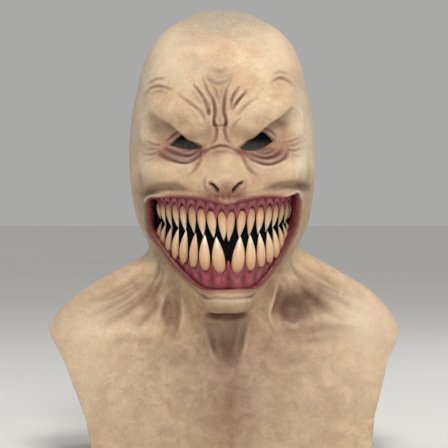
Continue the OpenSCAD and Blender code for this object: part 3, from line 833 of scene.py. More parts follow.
def tone_masks(s):
    """Where the skin is pink, brown with painted shade, grey, or pale with painted highlights."""
    x, z, front = s["x"], s["z"], s["front"]
    pink, shade, grey, pale = (patches(table, s) for table in (PINK, PAINTED_SHADE, GREY, PAINTED_HIGHLIGHTS))
    lip = np.where(front > 0.2, signed_near(x, z, MOUTH, 16), 99)
    pink += 0.8 * bell((lip - 0.6) / 2.6) * (front > 0.2)
    beside = step_up((np.abs(x) - 60) / 26)
    grey += beside * (0.6 * step_up((z - 280) / 60) + 0.3 * step_up((z - 190) / 30))
    grey += 1.7 * step_up((z - 405) / 45) * (0.3 + 0.7 * bell(x / 42))
    grey += 0.35 * step_up((150 - z) / 60) + 0.4 * (1 - front)
    return pink, shade, grey, pale


def signed_near(x, z, ring, reach):
    out = np.full(x.shape, 99.0)
    m = near_box(x, z, ring, reach)
    out[m] = signed(x[m], z[m], ring)
    return out


def mouth_path(o, i, n, c):
    """The mouth's edge turns in and, at the corners, runs back to line the cheeks."""
    side = step_up((abs(o[0] + 2) - 60) / 10)
    deep = 0.8 + 25 * side
    back = np.array([-0.25 * np.sign(o[0]) * side, 1.0, 0.0])
    inner = i + c * 1.3
    return [o - n * 0.5 + c * 0.9, o - n * 1.7 + c * 1.7, inner + back * 0.3,
            inner + back * (0.3 + deep * 0.5), inner + back * (0.3 + deep), inner + back * (0.9 + deep) - c,
            i + back * (0.5 * deep + 0.3) - c * 0.1]


def rim_path(kind, o, i, n, c):
    """Points from an outer edge point o round to the inner edge point i, in millimetres.

    n is the outward normal there and c points into the opening.
    """
    if kind == MOUTH_RIM:
        return mouth_path(o, i, n, c)
    roll = 0 if kind == HEM_RIM else 0.45 if kind in ARM_RIMS else 0.8
    mid, half = (o + i) / 2, (o - i) / 2
    swell = c * np.linalg.norm(half) * roll
    turns = math.pi * np.arange(1, RIM_POINTS + 1) / (RIM_POINTS + 1)
    return [mid + half * math.cos(a) + swell * math.sin(a) for a in turns]


def rim_paint(paint, mouth):
    """A rim's paint fades from its outer edge's to the raw inside, or to the wet cheek in the mouth."""
    k = np.arange(RIM_POINTS)
    t = (k + 1) / (RIM_POINTS + 1)
    rows = np.zeros((RIM_POINTS, 9))
    rows[:, :6] = (paint[:6] + (MOUTH_EDGE if mouth else 0)) * (1 - t)[:, None]
    if mouth:
        rows[:, 7] = np.minimum(1, 0.35 + 0.4 * k)
    else:
        rows[:, 6] = t
    return rows


def opening_leads(rim, outer, normal):
    """The direction into the opening at each point of a rim."""
    lead = np.zeros_like(outer)
    for a, b in rim:
        c = np.cross(outer[b] - outer[a], normal[a] + normal[b])
        c /= max(np.linalg.norm(c), 1e-9)
        lead[a] += c
        lead[b] += c
    return lead / np.maximum(np.linalg.norm(lead, axis=1, keepdims=True), 1e-9)


def skin_paint(s, parts):
    """Nine columns for each point: dark (painted shade in creases), pink, shade (painted shade); light
    (painted highlights on raised parts), grey, pale (painted highlights); raw, cheek and one unused.
    """
    pink, shade, grey, pale = tone_masks(s)
    columns = np.stack([blend_rows(c, parts) for c in (s["dark"], pink, shade, s["light"], grey, pale)], -1)
    return np.hstack([columns, np.zeros((len(parts), 3))])


def make_skin(material):
    s = make_skin_fields()
    d, kind = openings(s)
    clip = Clip(d)
    faces, inner_faces, parts = clip.faces, clip.merged(), clip.parts
    outer, inner, normal, height = (blend_rows(s[k], parts) for k in ("outer", "inner", "normal", "z"))
    normal = normal / np.linalg.norm(normal, axis=1, keepdims=True)
    start = np.array([a for a, _, _ in parts])
    kinds = np.where(height < 0.05, HEM_RIM, kind.ravel()[start])
    top = start // d.shape[1] == d.shape[0] - 1
    edges = boundary_edges(faces)
    rim = [(a, b) for a, b in edges if not (top[a] and top[b])]
    cap = [(a, b) for a, b in edges if top[a] and top[b]]
    lead = opening_leads(rim, outer, normal)
    paint = skin_paint(s, parts)
    raw = np.zeros_like(paint)
    raw[:, 6] = 1
    verts, paints = [outer, inner], [paint, raw]
    count = len(parts)
    at = 2 * count
    walk = {}
    for v in sorted({v for edge in rim for v in edge}):
        verts.append(rim_path(kinds[v], outer[v], inner[v], normal[v], lead[v]))
        paints.append(rim_paint(paint[v], kinds[v] == MOUTH_RIM))
        walk[v] = [v, *range(at, at + RIM_POINTS), v + count]
        at += RIM_POINTS
    faces = list(faces) + [[v + count for v in reversed(f)] for f in inner_faces]
    for a, b in rim:
        for k in range(RIM_POINTS + 1):
            faces.append([walk[b][k], walk[a][k], walk[a][k + 1], walk[b][k + 1]])
    verts.append([[lean(TOP_Z), 0, TOP_Z], [lean(TOP_Z), 0, TOP_Z - WALL]])
    paints.append(paint[top][:2])
    for a, b in cap:
        faces += [[b, a, at], [a + count, b + count, at + 1]]
    paint = np.vstack(paints)
    # The second attribute holds painted highlights, the grey, and more painted highlights.
    return add_mesh("latex_casting", np.vstack(verts), faces, material, "latex",
                    {"tone": paint[:, :3], "highlights_and_grey": paint[:, 3:6], "lining": paint[:, 6:]})


# ------------------------------------------------------------------ node materials
class Nodes:
    """A short way to write a node material."""

    def __init__(self, name):
        self.material = bpy.data.materials.new(name)
        self.material.use_nodes = True
        self.tree = self.material.node_tree
        self.shader = self.tree.nodes["Principled BSDF"]
        self.place = self.add("ShaderNodeTexCoord").outputs["Object"]

    def add(self, kind, **values):
        node = self.tree.nodes.new(kind)
        for key, value in values.items():
            setattr(node, key, value)
        return node

    def put(self, socket, value):
        if isinstance(value, bpy.types.NodeSocket):
            self.tree.links.new(value, socket)
        elif socket.type == "RGBA" and len(value) == 3:
            socket.default_value = (*value, 1)
        else:
            socket.default_value = value

    def set(self, **values):
        for key, value in values.items():
            self.put(self.shader.inputs[key.replace("_", " ")], value)

    def attribute(self, name):
        node = self.add("ShaderNodeAttribute", attribute_name=name)
        split = self.add("ShaderNodeSeparateColor")
        self.put(split.inputs[0], node.outputs["Color"])
        return split.outputs

    def moved(self, scale=(1, 1, 1), turn=(0, 0, 0)):
        node = self.add("ShaderNodeMapping")
        self.put(node.inputs["Vector"], self.place)
        node.inputs["Scale"].default_value = scale
        node.inputs["Rotation"].default_value = turn
        return node.outputs[0]

    def noise(self, size_mm, detail=3.0, rough=0.55, vector=None, warp=0.0):
        node = self.add("ShaderNodeTexNoise")
        self.put(node.inputs["Vector"], vector or self.place)
        node.inputs["Scale"].default_value = 1000 / size_mm
        node.inputs["Detail"].default_value = detail
        node.inputs["Roughness"].default_value = rough
        node.inputs["Distortion"].default_value = warp
        return node.outputs["Fac"]

    def cells(self, size_mm, feature="F1", vector=None):
        node = self.add("ShaderNodeTexVoronoi", feature=feature)
        self.put(node.inputs["Vector"], vector or self.place)
        node.inputs["Scale"].default_value = 1000 / size_mm
        return node.outputs["Distance"]

    def ramp(self, value, stops):
        node = self.add("ShaderNodeValToRGB")
        self.put(node.inputs[0], value)
        elements = node.color_ramp.elements
        while len(elements) < len(stops):
            elements.new(0.5)
        for element, (at, colour) in zip(elements, stops):
            element.position = at
            element.color = (*colour, 1) if hasattr(colour, "__len__") else (colour,) * 3 + (1,)
        return node.outputs[0]

    def fade(self, value, start, end, high=1, low=0):
        """Goes from low to high as the value goes from start to end."""
        return self.ramp(value, [(start, low), (end, high)])

    def mix(self, share, a, b):
        node = self.add("ShaderNodeMix", data_type="RGBA", blend_type="MIX")
        self.put(node.inputs[0], share)
        self.put(node.inputs[6], a)
        self.put(node.inputs[7], b)
        return node.outputs[2]

    def math(self, how, a, b, clamp=False):
        node = self.add("ShaderNodeMath", operation=how, use_clamp=clamp)
        self.put(node.inputs[0], a)
        self.put(node.inputs[1], b)
        return node.outputs[0]

    def times(self, a, b):
        """The product of two values, no more than 1."""
        return self.math("MULTIPLY", a, b, True)

    def above(self, value, limit):
        """By how much a value is over a limit, from 0 to 1."""
        return self.math("SUBTRACT", value, limit, True)

    def bump(self, height, strength, distance_mm, under=None):
        node = self.add("ShaderNodeBump")
        node.inputs["Strength"].default_value = strength
        node.inputs["Distance"].default_value = distance_mm * MM
        self.put(node.inputs["Height"], height)
        if under is not None:
            self.put(node.inputs["Normal"], under)
        return node.outputs[0]


def srgb(r, g, b):
    """Linear colour from the 0 to 255 numbers of a screen colour."""
    def one(v):
        v /= 255
        return v / 12.92 if v <= 0.04045 else ((v + 0.055) / 1.055) ** 2.4
    return (one(r), one(g), one(b))


def latex_coats(m, middle, small):
    """The paint from the ground up: how densely each coat lies on the ones below, and its colour. Some coats
    are painted shade and painted highlights.
    """
    dark, pink, shade = m.attribute("tone")
    # light and pale are painted highlights; grey is the latex's own grey.
    light, grey, pale = m.attribute("highlights_and_grey")
    greys = m.math("MULTIPLY", grey, m.fade(m.noise(17, 4, 0.6, warp=0.5), 0.3, 0.65, 1, 0.3))
    pinks = m.times(pink, m.fade(small, 0.3, 0.65, 1, 0.65))
    shades = m.times(shade, m.fade(middle, 0.3, 0.7, 1, 0.6))
    grain = m.fade(m.noise(3.2, 3, 0.6), 0.42, 0.7, 0.3)
    return [
        (m.fade(middle, 0.4, 0.66, 0.75), (190, 156, 122)),
        (m.fade(m.noise(19, 5, 0.65, warp=0.8), 0.46, 0.7, 0.45), (184, 168, 126)),
        (m.fade(m.noise(27, 4, 0.6, warp=0.5), 0.46, 0.72, 0.45), (212, 160, 134)),
        (m.times(greys, 0.8), (184, 172, 152)),
        # Painted highlight where the skin is pale.
        (m.times(pale, 0.55), (240, 222, 194)),
        (m.times(pinks, 0.9), (144, 76, 66)),
        (m.times(m.above(pink, 0.85), 0.8), (104, 46, 48)),
        # Painted shade, deeper where it is strongest.
        (m.times(shades, 0.8), (112, 78, 54)),
        (m.times(m.above(shade, 0.85), 0.55), (72, 50, 40)),
        # Painted highlight on ridges, groove flanks and lip corners.
        (m.times(light, 0.55), (248, 228, 204)),
        (m.fade(m.noise(1.7, 2, 0.5), 0.57, 0.74, 0.3), (134, 102, 78)),
        (m.times(grain, grey), (134, 122, 104)),
        # Painted shade in the creases, near black in the deepest.
        (m.times(dark, 0.95), (78, 42, 30)),
        (m.times(m.above(dark, 1.05), 2.4), (24, 10, 8)),
    ]


def latex_bumps(m):
    """Pores, a web of wrinkles and small lumps."""
    pores = m.bump(m.fade(m.cells(1.5), 0, 0.45), 0.3, 0.25)
    wrinkle = m.cells(3.8, "DISTANCE_TO_EDGE", m.moved((1, 1, 1.25)))
    web = m.bump(m.fade(wrinkle, 0, 0.14), 0.35, 0.4, pores)
    return m.bump(m.noise(5, 5, 0.68), 0.5, 1.1, web)


def latex_material():
    m = Nodes("painted_latex")
    middle = m.noise(14, 5, 0.66, warp=0.4)
    small = m.noise(4.5, 4, 0.62)
    large = m.noise(55, 4, 0.6, warp=0.6)
    base = m.mix(m.fade(large, 0.36, 0.64), srgb(212, 183, 148), srgb(228, 202, 168))
    for share, colour in latex_coats(m, middle, small):
        base = m.mix(share, base, srgb(*colour))
    lining = m.attribute("lining")
    raw = m.mix(m.fade(middle, 0.4, 0.6, 0.5), srgb(206, 178, 138), srgb(190, 160, 120))
    base = m.mix(lining[0], base, raw)
    cheek = m.mix(m.fade(small, 0.35, 0.65), srgb(132, 60, 60), srgb(86, 34, 34))
    base = m.mix(lining[1], base, cheek)
    rough = m.above(m.fade(m.noise(7, 3, 0.6), 0.3, 0.7, 0.6, 0.44), m.times(lining[1], 0.25))
    m.set(Base_Color=base, Roughness=rough, Normal=latex_bumps(m), Subsurface_Weight=0.1,
          Subsurface_Scale=0.003, Subsurface_Radius=(1.0, 0.45, 0.25), Specular_IOR_Level=0.4)
    return m.material


def tooth_material():
    m = Nodes("fang_enamel")
    a = m.attribute("tone")
    along, tint = a[0], a[1]
    body = m.ramp(along, [(0, srgb(158, 100, 72)), (0.07, srgb(196, 144, 106)),
                          (0.38, srgb(226, 186, 148)), (0.7, srgb(234, 210, 176)), (1, srgb(250, 244, 228))])
    streak = m.noise(2.6, 4, 0.6, m.moved((1, 1, 0.16)))
    body = m.mix(m.fade(streak, 0.42, 0.68, 0.5), body, srgb(196, 148, 104))
    body = m.mix(m.times(tint, 0.6), body, srgb(190, 150, 112))
    m.set(Base_Color=body, Roughness=m.fade(streak, 0.3, 0.7, 0.4, 0.26),
          Normal=m.bump(streak, 0.25, 0.35), Subsurface_Weight=0.15, Subsurface_Scale=0.003,
          Coat_Weight=0.35, Coat_Roughness=0.18, Specular_IOR_Level=0.5,
          Subsurface_Radius=(1.0, 0.6, 0.35))
    return m.material


def gum_material():
    m = Nodes("wet_gum")
    a = m.attribute("tone")
    edge, high = a[0], a[1]
    mottled = m.noise(5, 4, 0.6, warp=0.4)
    body = m.mix(m.fade(mottled, 0.35, 0.65), srgb(126, 42, 54), srgb(156, 64, 76))
    # Painted light, from the second column.
    body = m.mix(m.times(high, 0.6), body, srgb(194, 102, 110))
    vein = m.fade(m.cells(7, "DISTANCE_TO_EDGE"), 0, 0.09, 0, 0.6)
    body = m.mix(vein, body, srgb(120, 30, 48))
    # Painted shade by and between the teeth, from the first column.
    body = m.mix(m.times(edge, 0.95), body, srgb(74, 8, 16))
    m.set(Base_Color=body, Roughness=m.fade(mottled, 0.3, 0.7, 0.5, 0.34),
          Normal=m.bump(mottled, 0.4, 0.9), Coat_Weight=0.2, Coat_Roughness=0.3, Subsurface_Weight=0.12,
          Subsurface_Scale=0.003, Subsurface_Radius=(1.0, 0.3, 0.3))
    return m.material


def woven_material(name, dark, lit, thread_mm, painted_light_colour=None):
    """Crossed threads. Where the piece is painted with a tone, the weave fades to a paler colour painted in
    as light falling on it.
    """
    m = Nodes(name)
    wave = []
    for turn in ((0, 0, 0), (0, math.pi / 2, 0)):
        node = m.add("ShaderNodeTexWave", wave_type="BANDS", bands_direction="X")
        m.put(node.inputs["Vector"], m.moved(turn=turn))
        node.inputs["Scale"].default_value = 1000 / (math.pi * thread_mm)
        node.inputs["Distortion"].default_value = 0.4
        wave.append(node.outputs["Fac"])
    grid = m.math("MAXIMUM", wave[0], wave[1])
    fuzz = m.noise(3, 3, 0.6)
    colour = m.mix(m.math("MULTIPLY", grid, 0.8), dark, lit)
    if painted_light_colour:
        # Painted light on the weave.
        share = m.math("MULTIPLY", m.attribute("tone")[0], m.fade(grid, 0.2, 0.8, 1, 0.55))
        colour = m.mix(share, colour, painted_light_colour)
    colour = m.mix(m.fade(fuzz, 0.4, 0.7, 0.5), colour, dark)
    m.set(Base_Color=colour, Roughness=0.85, Normal=m.bump(grid, 0.6, 0.3), Specular_IOR_Level=0.1)
    return m.material


def foam_material():
    m = Nodes("open_cell_foam")
    cells = m.cells(1.3)
    broad = m.noise(14, 3, 0.5)
    colour = m.mix(m.fade(cells, 0.1, 0.5), srgb(34, 34, 38), srgb(84, 84, 90))
    colour = m.mix(m.fade(broad, 0.4, 0.7, 0.35), colour, srgb(50, 50, 54))
    m.set(Base_Color=colour, Roughness=0.95, Normal=m.bump(cells, 0.7, 0.6), Sheen_Weight=0.2)
    return m.material


def metal_material():
    m = Nodes("worn_zinc")
    brushed = m.noise(1.4, 3, 0.6, m.moved((1, 1, 0.12)))
    spots = m.noise(3.5, 4, 0.65)
    colour = m.mix(m.fade(spots, 0.45, 0.75, 0.8), srgb(168, 166, 160), srgb(96, 92, 86))
    m.set(Base_Color=colour, Metallic=1.0, Roughness=m.fade(brushed, 0.3, 0.7, 0.46, 0.24),
          Normal=m.bump(brushed, 0.18, 0.12))
    return m.material


def nylon_material():
    m = Nodes("moulded_teeth")
    grain = m.noise(0.9, 3, 0.6)
    colour = m.mix(m.fade(grain, 0.4, 0.7), srgb(30, 30, 32), srgb(54, 54, 56))
    m.set(Base_Color=colour, Roughness=m.fade(grain, 0.3, 0.7, 0.5, 0.34), Normal=m.bump(grain, 0.3, 0.1))
    return m.material


# ------------------------------------------------------------------ teeth
# For each fang from the middle outwards: distance from the middle, heights of root and tip, how far the
# tip leans in or out, and width
UPPER_ACROSS = [4.7, 15.1, 24.3, 33.0, 41.6, 48.8, 55.4, 60.8, 65.0]
UPPER_ROOT = [251.8, 253.0, 255.2, 256.8, 258.3, 259.6, 260.6, 261.4, 262.0]
UPPER_TIP = [223.3, 226.0, 228.3, 230.2, 232.8, 235.2, 238.0, 241.0, 245.0]
UPPER_TIP_IN = [2.2, 2.6, 2.4, 2.0, 2.6, 2.6, 2.6, 2.2, 1.8]
UPPER_WIDE = [8.7, 8.9, 8.4, 8.0, 7.7, 7.2, 6.8, 6.3, 5.6]
UPPER_MIDDLE = -1.5
LOWER_ACROSS = [8.0, 21.5, 32.2, 41.4, 49.0, 55.6, 60.6, 63.4]
LOWER_TIP = [228.2, 230.0, 231.6, 233.4, 235.6, 238.6, 241.0, 243.5]
LOWER_TIP_OUT = [3.3, 0.5, -1.3, -1.9, -2.6, -3.2, -2.6, -2.0]
LOWER_WIDE = [12.7, 11.0, 9.8, 9.5, 8.9, 8.3, 7.5, 6.4]
UPPER_R, ARCH_Y = 76.0, -9.0
LOWER_R, LOWER_TILT, LOWER_FRONT, LOWER_Z = 66.0, math.radians(38), -84.0, 192.0
# A fang's width along it, from its root at 0 to its tip at 1
PROFILE = np.array([[-0.05, 0.0], [-0.045, 0.24], [-0.03, 0.44], [0.0, 0.64], [0.05, 0.79], [0.12, 0.9],
                    [0.22, 0.98], [0.33, 1.0], [0.45, 0.97], [0.58, 0.85], [0.7, 0.68], [0.82, 0.46],
                    [0.92, 0.24], [0.98, 0.09], [1.0, 0.0]])


TOOTH_SIDES = 20
TOOTH_OUT, TOOTH_IN = 0.78, 0.62   # a fang's thickness outwards and inwards, for a width of 1
TOOTH_ROWS = [-0.048, -0.04, -0.025, -0.005, *np.linspace(0.025, 0.9, 20), 0.94, 0.97, 0.985]


def lower_middle(k):
    """The lower arch sits a little turned: its middle moves over towards the back."""
    return 0.4 - 2.6 * k / 7


def upper_place(across):
    return ARCH_Y - math.sqrt(UPPER_R ** 2 - across ** 2)


def lower_place(across):
    drop = LOWER_R - math.sqrt(max(LOWER_R ** 2 - across ** 2, 0))
    return LOWER_FRONT + drop * math.cos(LOWER_TILT), LOWER_Z + drop * math.sin(LOWER_TILT)


def ring_faces(n, sides):
    """Faces round a bar of n rings of points."""
    faces = []
    for i in range(n - 1):
        for j in range(sides):
            k = (j + 1) % sides
            faces.append([i * sides + j, (i + 1) * sides + j, (i + 1) * sides + k, i * sides + k])
    return faces


def make_tooth(name, node, root, tip, wide, angle, bow, material):
    """A fang with an oval section, from its root to its tip, bowed outwards by bow."""
    root, tip = np.array(root, float), np.array(tip, float)
    tangent = np.array([math.cos(angle), math.sin(angle), 0])
    out = np.array([math.sin(angle), -math.cos(angle), 0])
    axis = tip - root
    sides = TOOTH_SIDES
    a = np.linspace(0, 2 * math.pi, sides, endpoint=False)
    flute = 1 + 0.022 * np.cos(5 * a + angle * 7)
    verts, tone = [], []
    tint = rng.uniform(0, 1) ** 2
    for t in TOOTH_ROWS:
        half = wide / 2 * np.interp(t, PROFILE[:, 0], PROFILE[:, 1])
        centre = root + axis * t + out * bow * 4 * t * (1 - t)
        x, y = np.cos(a) * half * flute, np.sin(a) * half * flute
        y = np.where(y > 0, y * TOOTH_OUT, y * TOOTH_IN)
        verts.append(centre + x[:, None] * tangent + y[:, None] * out)
        tone.append(np.tile([max(t, 0), tint, 0], (sides, 1)))
    verts = np.vstack(verts + [root + axis * -0.05, tip])
    tone = np.vstack(tone + [[[0, tint, 0]], [[1, tint, 0]]])
    n = len(TOOTH_ROWS)
    faces = [[f[0], *f[:0:-1]] for f in ring_faces(n, sides)]
    for j in range(sides):
        k = (j + 1) % sides
        faces += [[n * sides, k, j], [n * sides + 1, (n - 1) * sides + j, (n - 1) * sides + k]]
    if np.cross(tangent, out) @ axis <= 0:
        faces = [f[::-1] for f in faces]
    piece = add_mesh(name, verts, faces, material, "fang", {"tone": tone})
    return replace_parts(piece, node)


GUM_GAP = 1.8
GUM_SIDES = 28
GUM_TOP = 272.0


def room(x, y, z):
    """How far from the head's axis gums may reach behind the skin."""
    return base_radius(np.arctan2(x, -y), z) - WALL - GUM_GAP


def seat(x, y, z, thick):
    """Moves a root back until it is seated in the gum."""
    reach = float(room(np.array([x]), np.array([y]), np.array([z]))[0]) - thick
    return max(y, -math.sqrt(max(reach ** 2 - x ** 2, 1)))


def make_teeth(material):
    for side, word in ((-1, "left"), (1, "right")):
        for k, across in enumerate(UPPER_ACROSS):
            angle = math.asin(across / UPPER_R) * side
            y = upper_place(across)
            x = UPPER_MIDDLE + side * across
            tip_x = x - side * (UPPER_TIP_IN[k] + rng.uniform(-0.5, 0.5))
            root = (x, y, UPPER_ROOT[k] + rng.uniform(-0.5, 0.5))
            tip = (tip_x, y + 3.0, UPPER_TIP[k] + rng.uniform(-0.8, 0.8))
            make_tooth(f"tooth_upper_{word}_{k + 1}", f"upper_fang_{word}_{k + 1}", root, tip,
                       UPPER_WIDE[k] * rng.uniform(0.96, 1.04), angle, 1.6, material)
        for k, across in enumerate(LOWER_ACROSS):
            angle = math.asin(across / LOWER_R) * side
            y, z = lower_place(across)
            x = lower_middle(k) + side * across
            tip_x = x + side * (LOWER_TIP_OUT[k] + rng.uniform(-0.5, 0.5))
            tip = (tip_x, y + 1.5, LOWER_TIP[k] + rng.uniform(-0.8, 0.8))
            root = (x, seat(x, y, z, LOWER_WIDE[k] * 0.3 + 0.4), z)
            make_tooth(f"tooth_lower_{word}_{k + 1}", f"lower_fang_{word}_{k + 1}", root, tip,
                       LOWER_WIDE[k] * rng.uniform(0.96, 1.04), angle, 2.2, material)


# ------------------------------------------------------------------ gums
def tooth_wave(x, centres):
    """1 beside a tooth's middle and 0 between two teeth."""
    place = np.interp(x, centres, np.arange(len(centres)))
    return 0.5 + 0.5 * np.cos(2 * math.pi * place)


def sweep(frames, a):
    """Points of a closed bar, at angles a round each frame.

    A frame is its centre, the outward direction, the thickness out and in, and the height up and down.
    """
    x = np.sign(np.cos(a)) * np.abs(np.cos(a)) ** 0.8
    z = np.sign(np.sin(a)) * np.abs(np.sin(a)) ** 0.9
    rows = []
    for c, out, front, back, up, down in frames:
        across = np.where(x > 0, x * front, x * back)
        high = np.where(z > 0, z * up, z * down)
        rows.append(c + across[:, None] * out + high[:, None] * np.array([0, 0, 1.0]))
    return np.array(rows)


def bar_faces(n, sides):
    ends = [list(range(sides)), [(n - 1) * sides + j for j in reversed(range(sides))]]
    return ring_faces(n, sides) + ends


def keep_behind_skin(rows):
    """Moves points in towards the head's axis until they lie behind the skin's inner face."""
    x, y, z = rows[..., 0], rows[..., 1], rows[..., 2]
    share = np.minimum(1, room(x, y, z) / np.hypot(x, y))
    rows[..., :2] *= share[..., None]
    return rows


def make_gum(name, node, frames, wave, material):
    a = np.linspace(0, 2 * math.pi, GUM_SIDES, endpoint=False)
    rows = keep_behind_skin(sweep(frames, a))
    up = np.sin(a)
    free = -up if name == "gum_upper" else up
    beside = wave[:, None]
    # Painted shade: darker at the free edge by each tooth, between the teeth and along the root.
    edge = np.clip((free - 0.45) * 1.8, 0, 1) * (0.55 + 0.45 * beside)
    gap = 0.75 * (1 - beside) ** 3 * np.clip(1 - np.abs(free + 0.2), 0, 1)
    root = np.clip((-free - 0.75) * 3, 0, 1)
    # Painted light: paler in the band's middle by each tooth, and over most of the upper gum's face.
    lit = 0.7 * beside * np.clip(1 - np.abs(up) * 1.4, 0, 1)
    if name == "gum_upper":
        lit += 1.6 * np.clip(1.1 - np.abs(up), 0, 1)
    dark = np.maximum(np.maximum(edge, gap), root)
    tone = np.stack([dark, lit, lit * 0], -1)
    piece = add_mesh(name, rows.reshape(-1, 3), bar_faces(len(frames), GUM_SIDES), material, "gum",
                     {"tone": tone.reshape(-1, 3)})
    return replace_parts(piece, node)


def make_upper_gum(material):
    ts = np.radians(np.linspace(-62, 62, 249))
    xs = UPPER_MIDDLE + UPPER_R * np.sin(ts)
    wave = tooth_wave(xs, sorted(UPPER_MIDDLE + s * a for s in (-1, 1) for a in UPPER_ACROSS))
    root = np.interp(np.abs(xs - UPPER_MIDDLE), UPPER_ACROSS, UPPER_ROOT)
    frames = []
    for t, x, w, r in zip(ts, xs, wave, root):
        low = r + 0.9 - 9.5 * (1 - w) ** 2
        mid = low + (GUM_TOP - low) * 0.45
        out = np.array([math.sin(t), -math.cos(t), 0])
        centre = np.array([x, ARCH_Y - UPPER_R * math.cos(t), mid])
        frames.append((centre, out, 3.0 + 1.5 * w, 3.4, GUM_TOP - mid, mid - low))
    make_gum("gum_upper", "upper_gum", frames, wave, material)


def make_lower_gum(material):
    ts = np.radians(np.linspace(-76, 76, 261))
    across = LOWER_R * np.sin(ts)
    middles = [lower_middle(k) for k in range(len(LOWER_ACROSS))]
    shift = np.interp(np.abs(across), LOWER_ACROSS, middles)
    centres = sorted(m + s * a for s in (-1, 1) for m, a in zip(middles, LOWER_ACROSS))
    wave = tooth_wave(across + shift, centres)
    frames = []
    for t, a, s, w in zip(ts, across, shift, wave):
        y, z = lower_place(a)
        high = z + 0.6 + max(12.5 - 13 * (a / 60) ** 2, 2) * (1 - w) ** 2.2
        low = z - 17 + 6 * math.sin(t) ** 2
        mid = low + (high - low) * 0.55
        out = np.array([math.sin(t), -math.cos(t), 0])
        frames.append((np.array([a + s, y, mid]), out, 3.6 + 1.7 * w, 3.2, high - mid, mid - low))
    make_gum("gum_lower", "lower_gum", frames, wave, material)


# ------------------------------------------------------------------ sheets and pads
def slab(front, back):
    """A closed thin body from two nets of the same size."""
    rows, cols = front.shape[:2]
    verts = np.vstack([front.reshape(-1, 3), back.reshape(-1, 3)])
    n = rows * cols
    faces = []
    for i in range(rows - 1):
        for j in range(cols - 1):
            a, b, c, d = i * cols + j, i * cols + j + 1, (i + 1) * cols + j + 1, (i + 1) * cols + j
            faces += [[a, b, c, d], [n + d, n + c, n + b, n + a]]
    edge = [(0, j) for j in range(cols)] + [(i, cols - 1) for i in range(1, rows)]
    edge += [(rows - 1, j) for j in range(cols - 2, -1, -1)] + [(i, 0) for i in range(rows - 2, 0, -1)]
    ids = [i * cols + j for i, j in edge]
    for a, b in zip(ids, ids[1:] + ids[:1]):
        faces.append([b, a, n + a, n + b])
    return verts, faces


SCRIM_R, SCRIM_T = 68.4, 0.7
EYE_HALF, EYE_Y, EYE_Z = 21, -68.0, 318.5


def make_mouth_scrim(material):
    top = curve([(-68, 258), (-40, 257), (-15, 255), (0, 253), (15, 255), (40, 257), (68, 258)])
    low = curve([(-68, 236), (-63, 226), (-57, 218), (-48, 205), (-36, 191), (-24, 183), (0, 181), (24, 183),
                 (36, 191), (48, 205), (57, 218), (63, 226), (68, 236)])
    x = 67 * np.sin(np.linspace(-math.pi / 2, math.pi / 2, 72))
    hi, lo = np.interp(x, top[:, 0], top[:, 1]), np.interp(x, low[:, 0], low[:, 1])
    v = np.linspace(0, 1, 28)[:, None]
    z = lo + (hi - lo) * v
    xx = np.broadcast_to(x, z.shape)
    sag = 0.8 * noise(np.stack([xx, z * 0, z], -1), 18, 5)
    nets = []
    for r in (SCRIM_R, SCRIM_R - SCRIM_T):
        y = ARCH_Y - np.sqrt(r ** 2 - xx ** 2) + sag
        nets.append(np.stack([xx, y, z], -1))
    verts, faces = slab(*nets)
    piece = add_mesh("mouth_mesh", verts, faces, material, "scrim")
    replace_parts(piece, "mouth_scrim")


def make_eye_scrims(material):
    for side, word, middle in ((-1, "left", -40.5), (1, "right", 32.5)):
        turn = math.radians(side * 14)
        u = np.linspace(-1, 1, 28)
        v = np.linspace(-1, 1, 14)[:, None]
        half_z = 11 * np.sqrt(np.clip(1 - 0.82 * u ** 4, 0, 1))
        pz = v * half_z
        px = np.broadcast_to(u * EYE_HALF, pz.shape)
        rx = px * math.cos(turn) - pz * math.sin(turn)
        rz = px * math.sin(turn) + pz * math.cos(turn)
        bulge = 1.2 * (1 - (px / EYE_HALF) ** 2)
        nets = []
        for back in (0, SCRIM_T):
            x = middle + rx * math.cos(turn)
            y = EYE_Y + rx * math.sin(turn) + bulge + back
            nets.append(np.stack([x, y, EYE_Z + rz], -1))
        # Painted light: each net is paler low down and towards the nose, and dark at its top, as if in the
        # brow's shade.
        lit = np.clip(0.55 - pz / 9 - 0.35 * side * px / EYE_HALF, 0, 1)
        tone = np.tile(lit.reshape(-1, 1), (2, 3))
        piece = add_mesh(f"eye_mesh_{word}", *slab(*nets), material, "scrim", {"tone": tone})
        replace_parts(piece, f"{word}_eye_scrim")


def add_pad(name, node, place, count, material):
    """A soft pad. place(u, v, w) gives its points, where u, v and w go from -1 to 1."""
    u, v = np.meshgrid(np.linspace(-1, 1, count[0]), np.linspace(-1, 1, count[1]))
    edge = ((1 - u ** 8) * (1 - v ** 8)) ** 0.34
    piece = add_mesh(name, *slab(place(u, v, edge), place(u, v, -edge)), material, "foam")
    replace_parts(piece, node)


def crown_place(u, v, w):
    reach = np.sqrt(u ** 2 * (1 - v ** 2 / 2) + v ** 2 * (1 - u ** 2 / 2)) + 1e-9
    across = math.radians(40.5) * reach
    a = np.arctan2(v, u)
    r = 77 + 4.7 * w + 0.35 * noise(np.stack([u * 50, v * 50, w * 4], -1), 9, 6)
    return np.stack([r * np.sin(across) * np.cos(a), 5 + r * np.sin(across) * np.sin(a),
                     372 + r * np.cos(across)], -1)


def make_pads(material):
    add_pad("foam_crown", "crown_pad", crown_place, (40, 40), material)
    for side, word in ((-1, "left"), (1, "right")):
        def temple_place(u, v, w):
            a = math.radians(23.6) * u
            r = 79.5 + 5.2 * w + 0.35 * noise(np.stack([u * 34, v * 24, w * 4 + side], -1), 8, 7)
            return np.stack([side * r * np.cos(a), 8 + r * np.sin(a) * side, 347 + 24.4 * v], -1)

        add_pad(f"foam_temple_{word}", f"{word}_temple_pad", temple_place, (44, 36), material)


ZIP_SLOPE = math.atan(0.16)
ZIP_TOP = np.array([0, 76.0, 215.0])


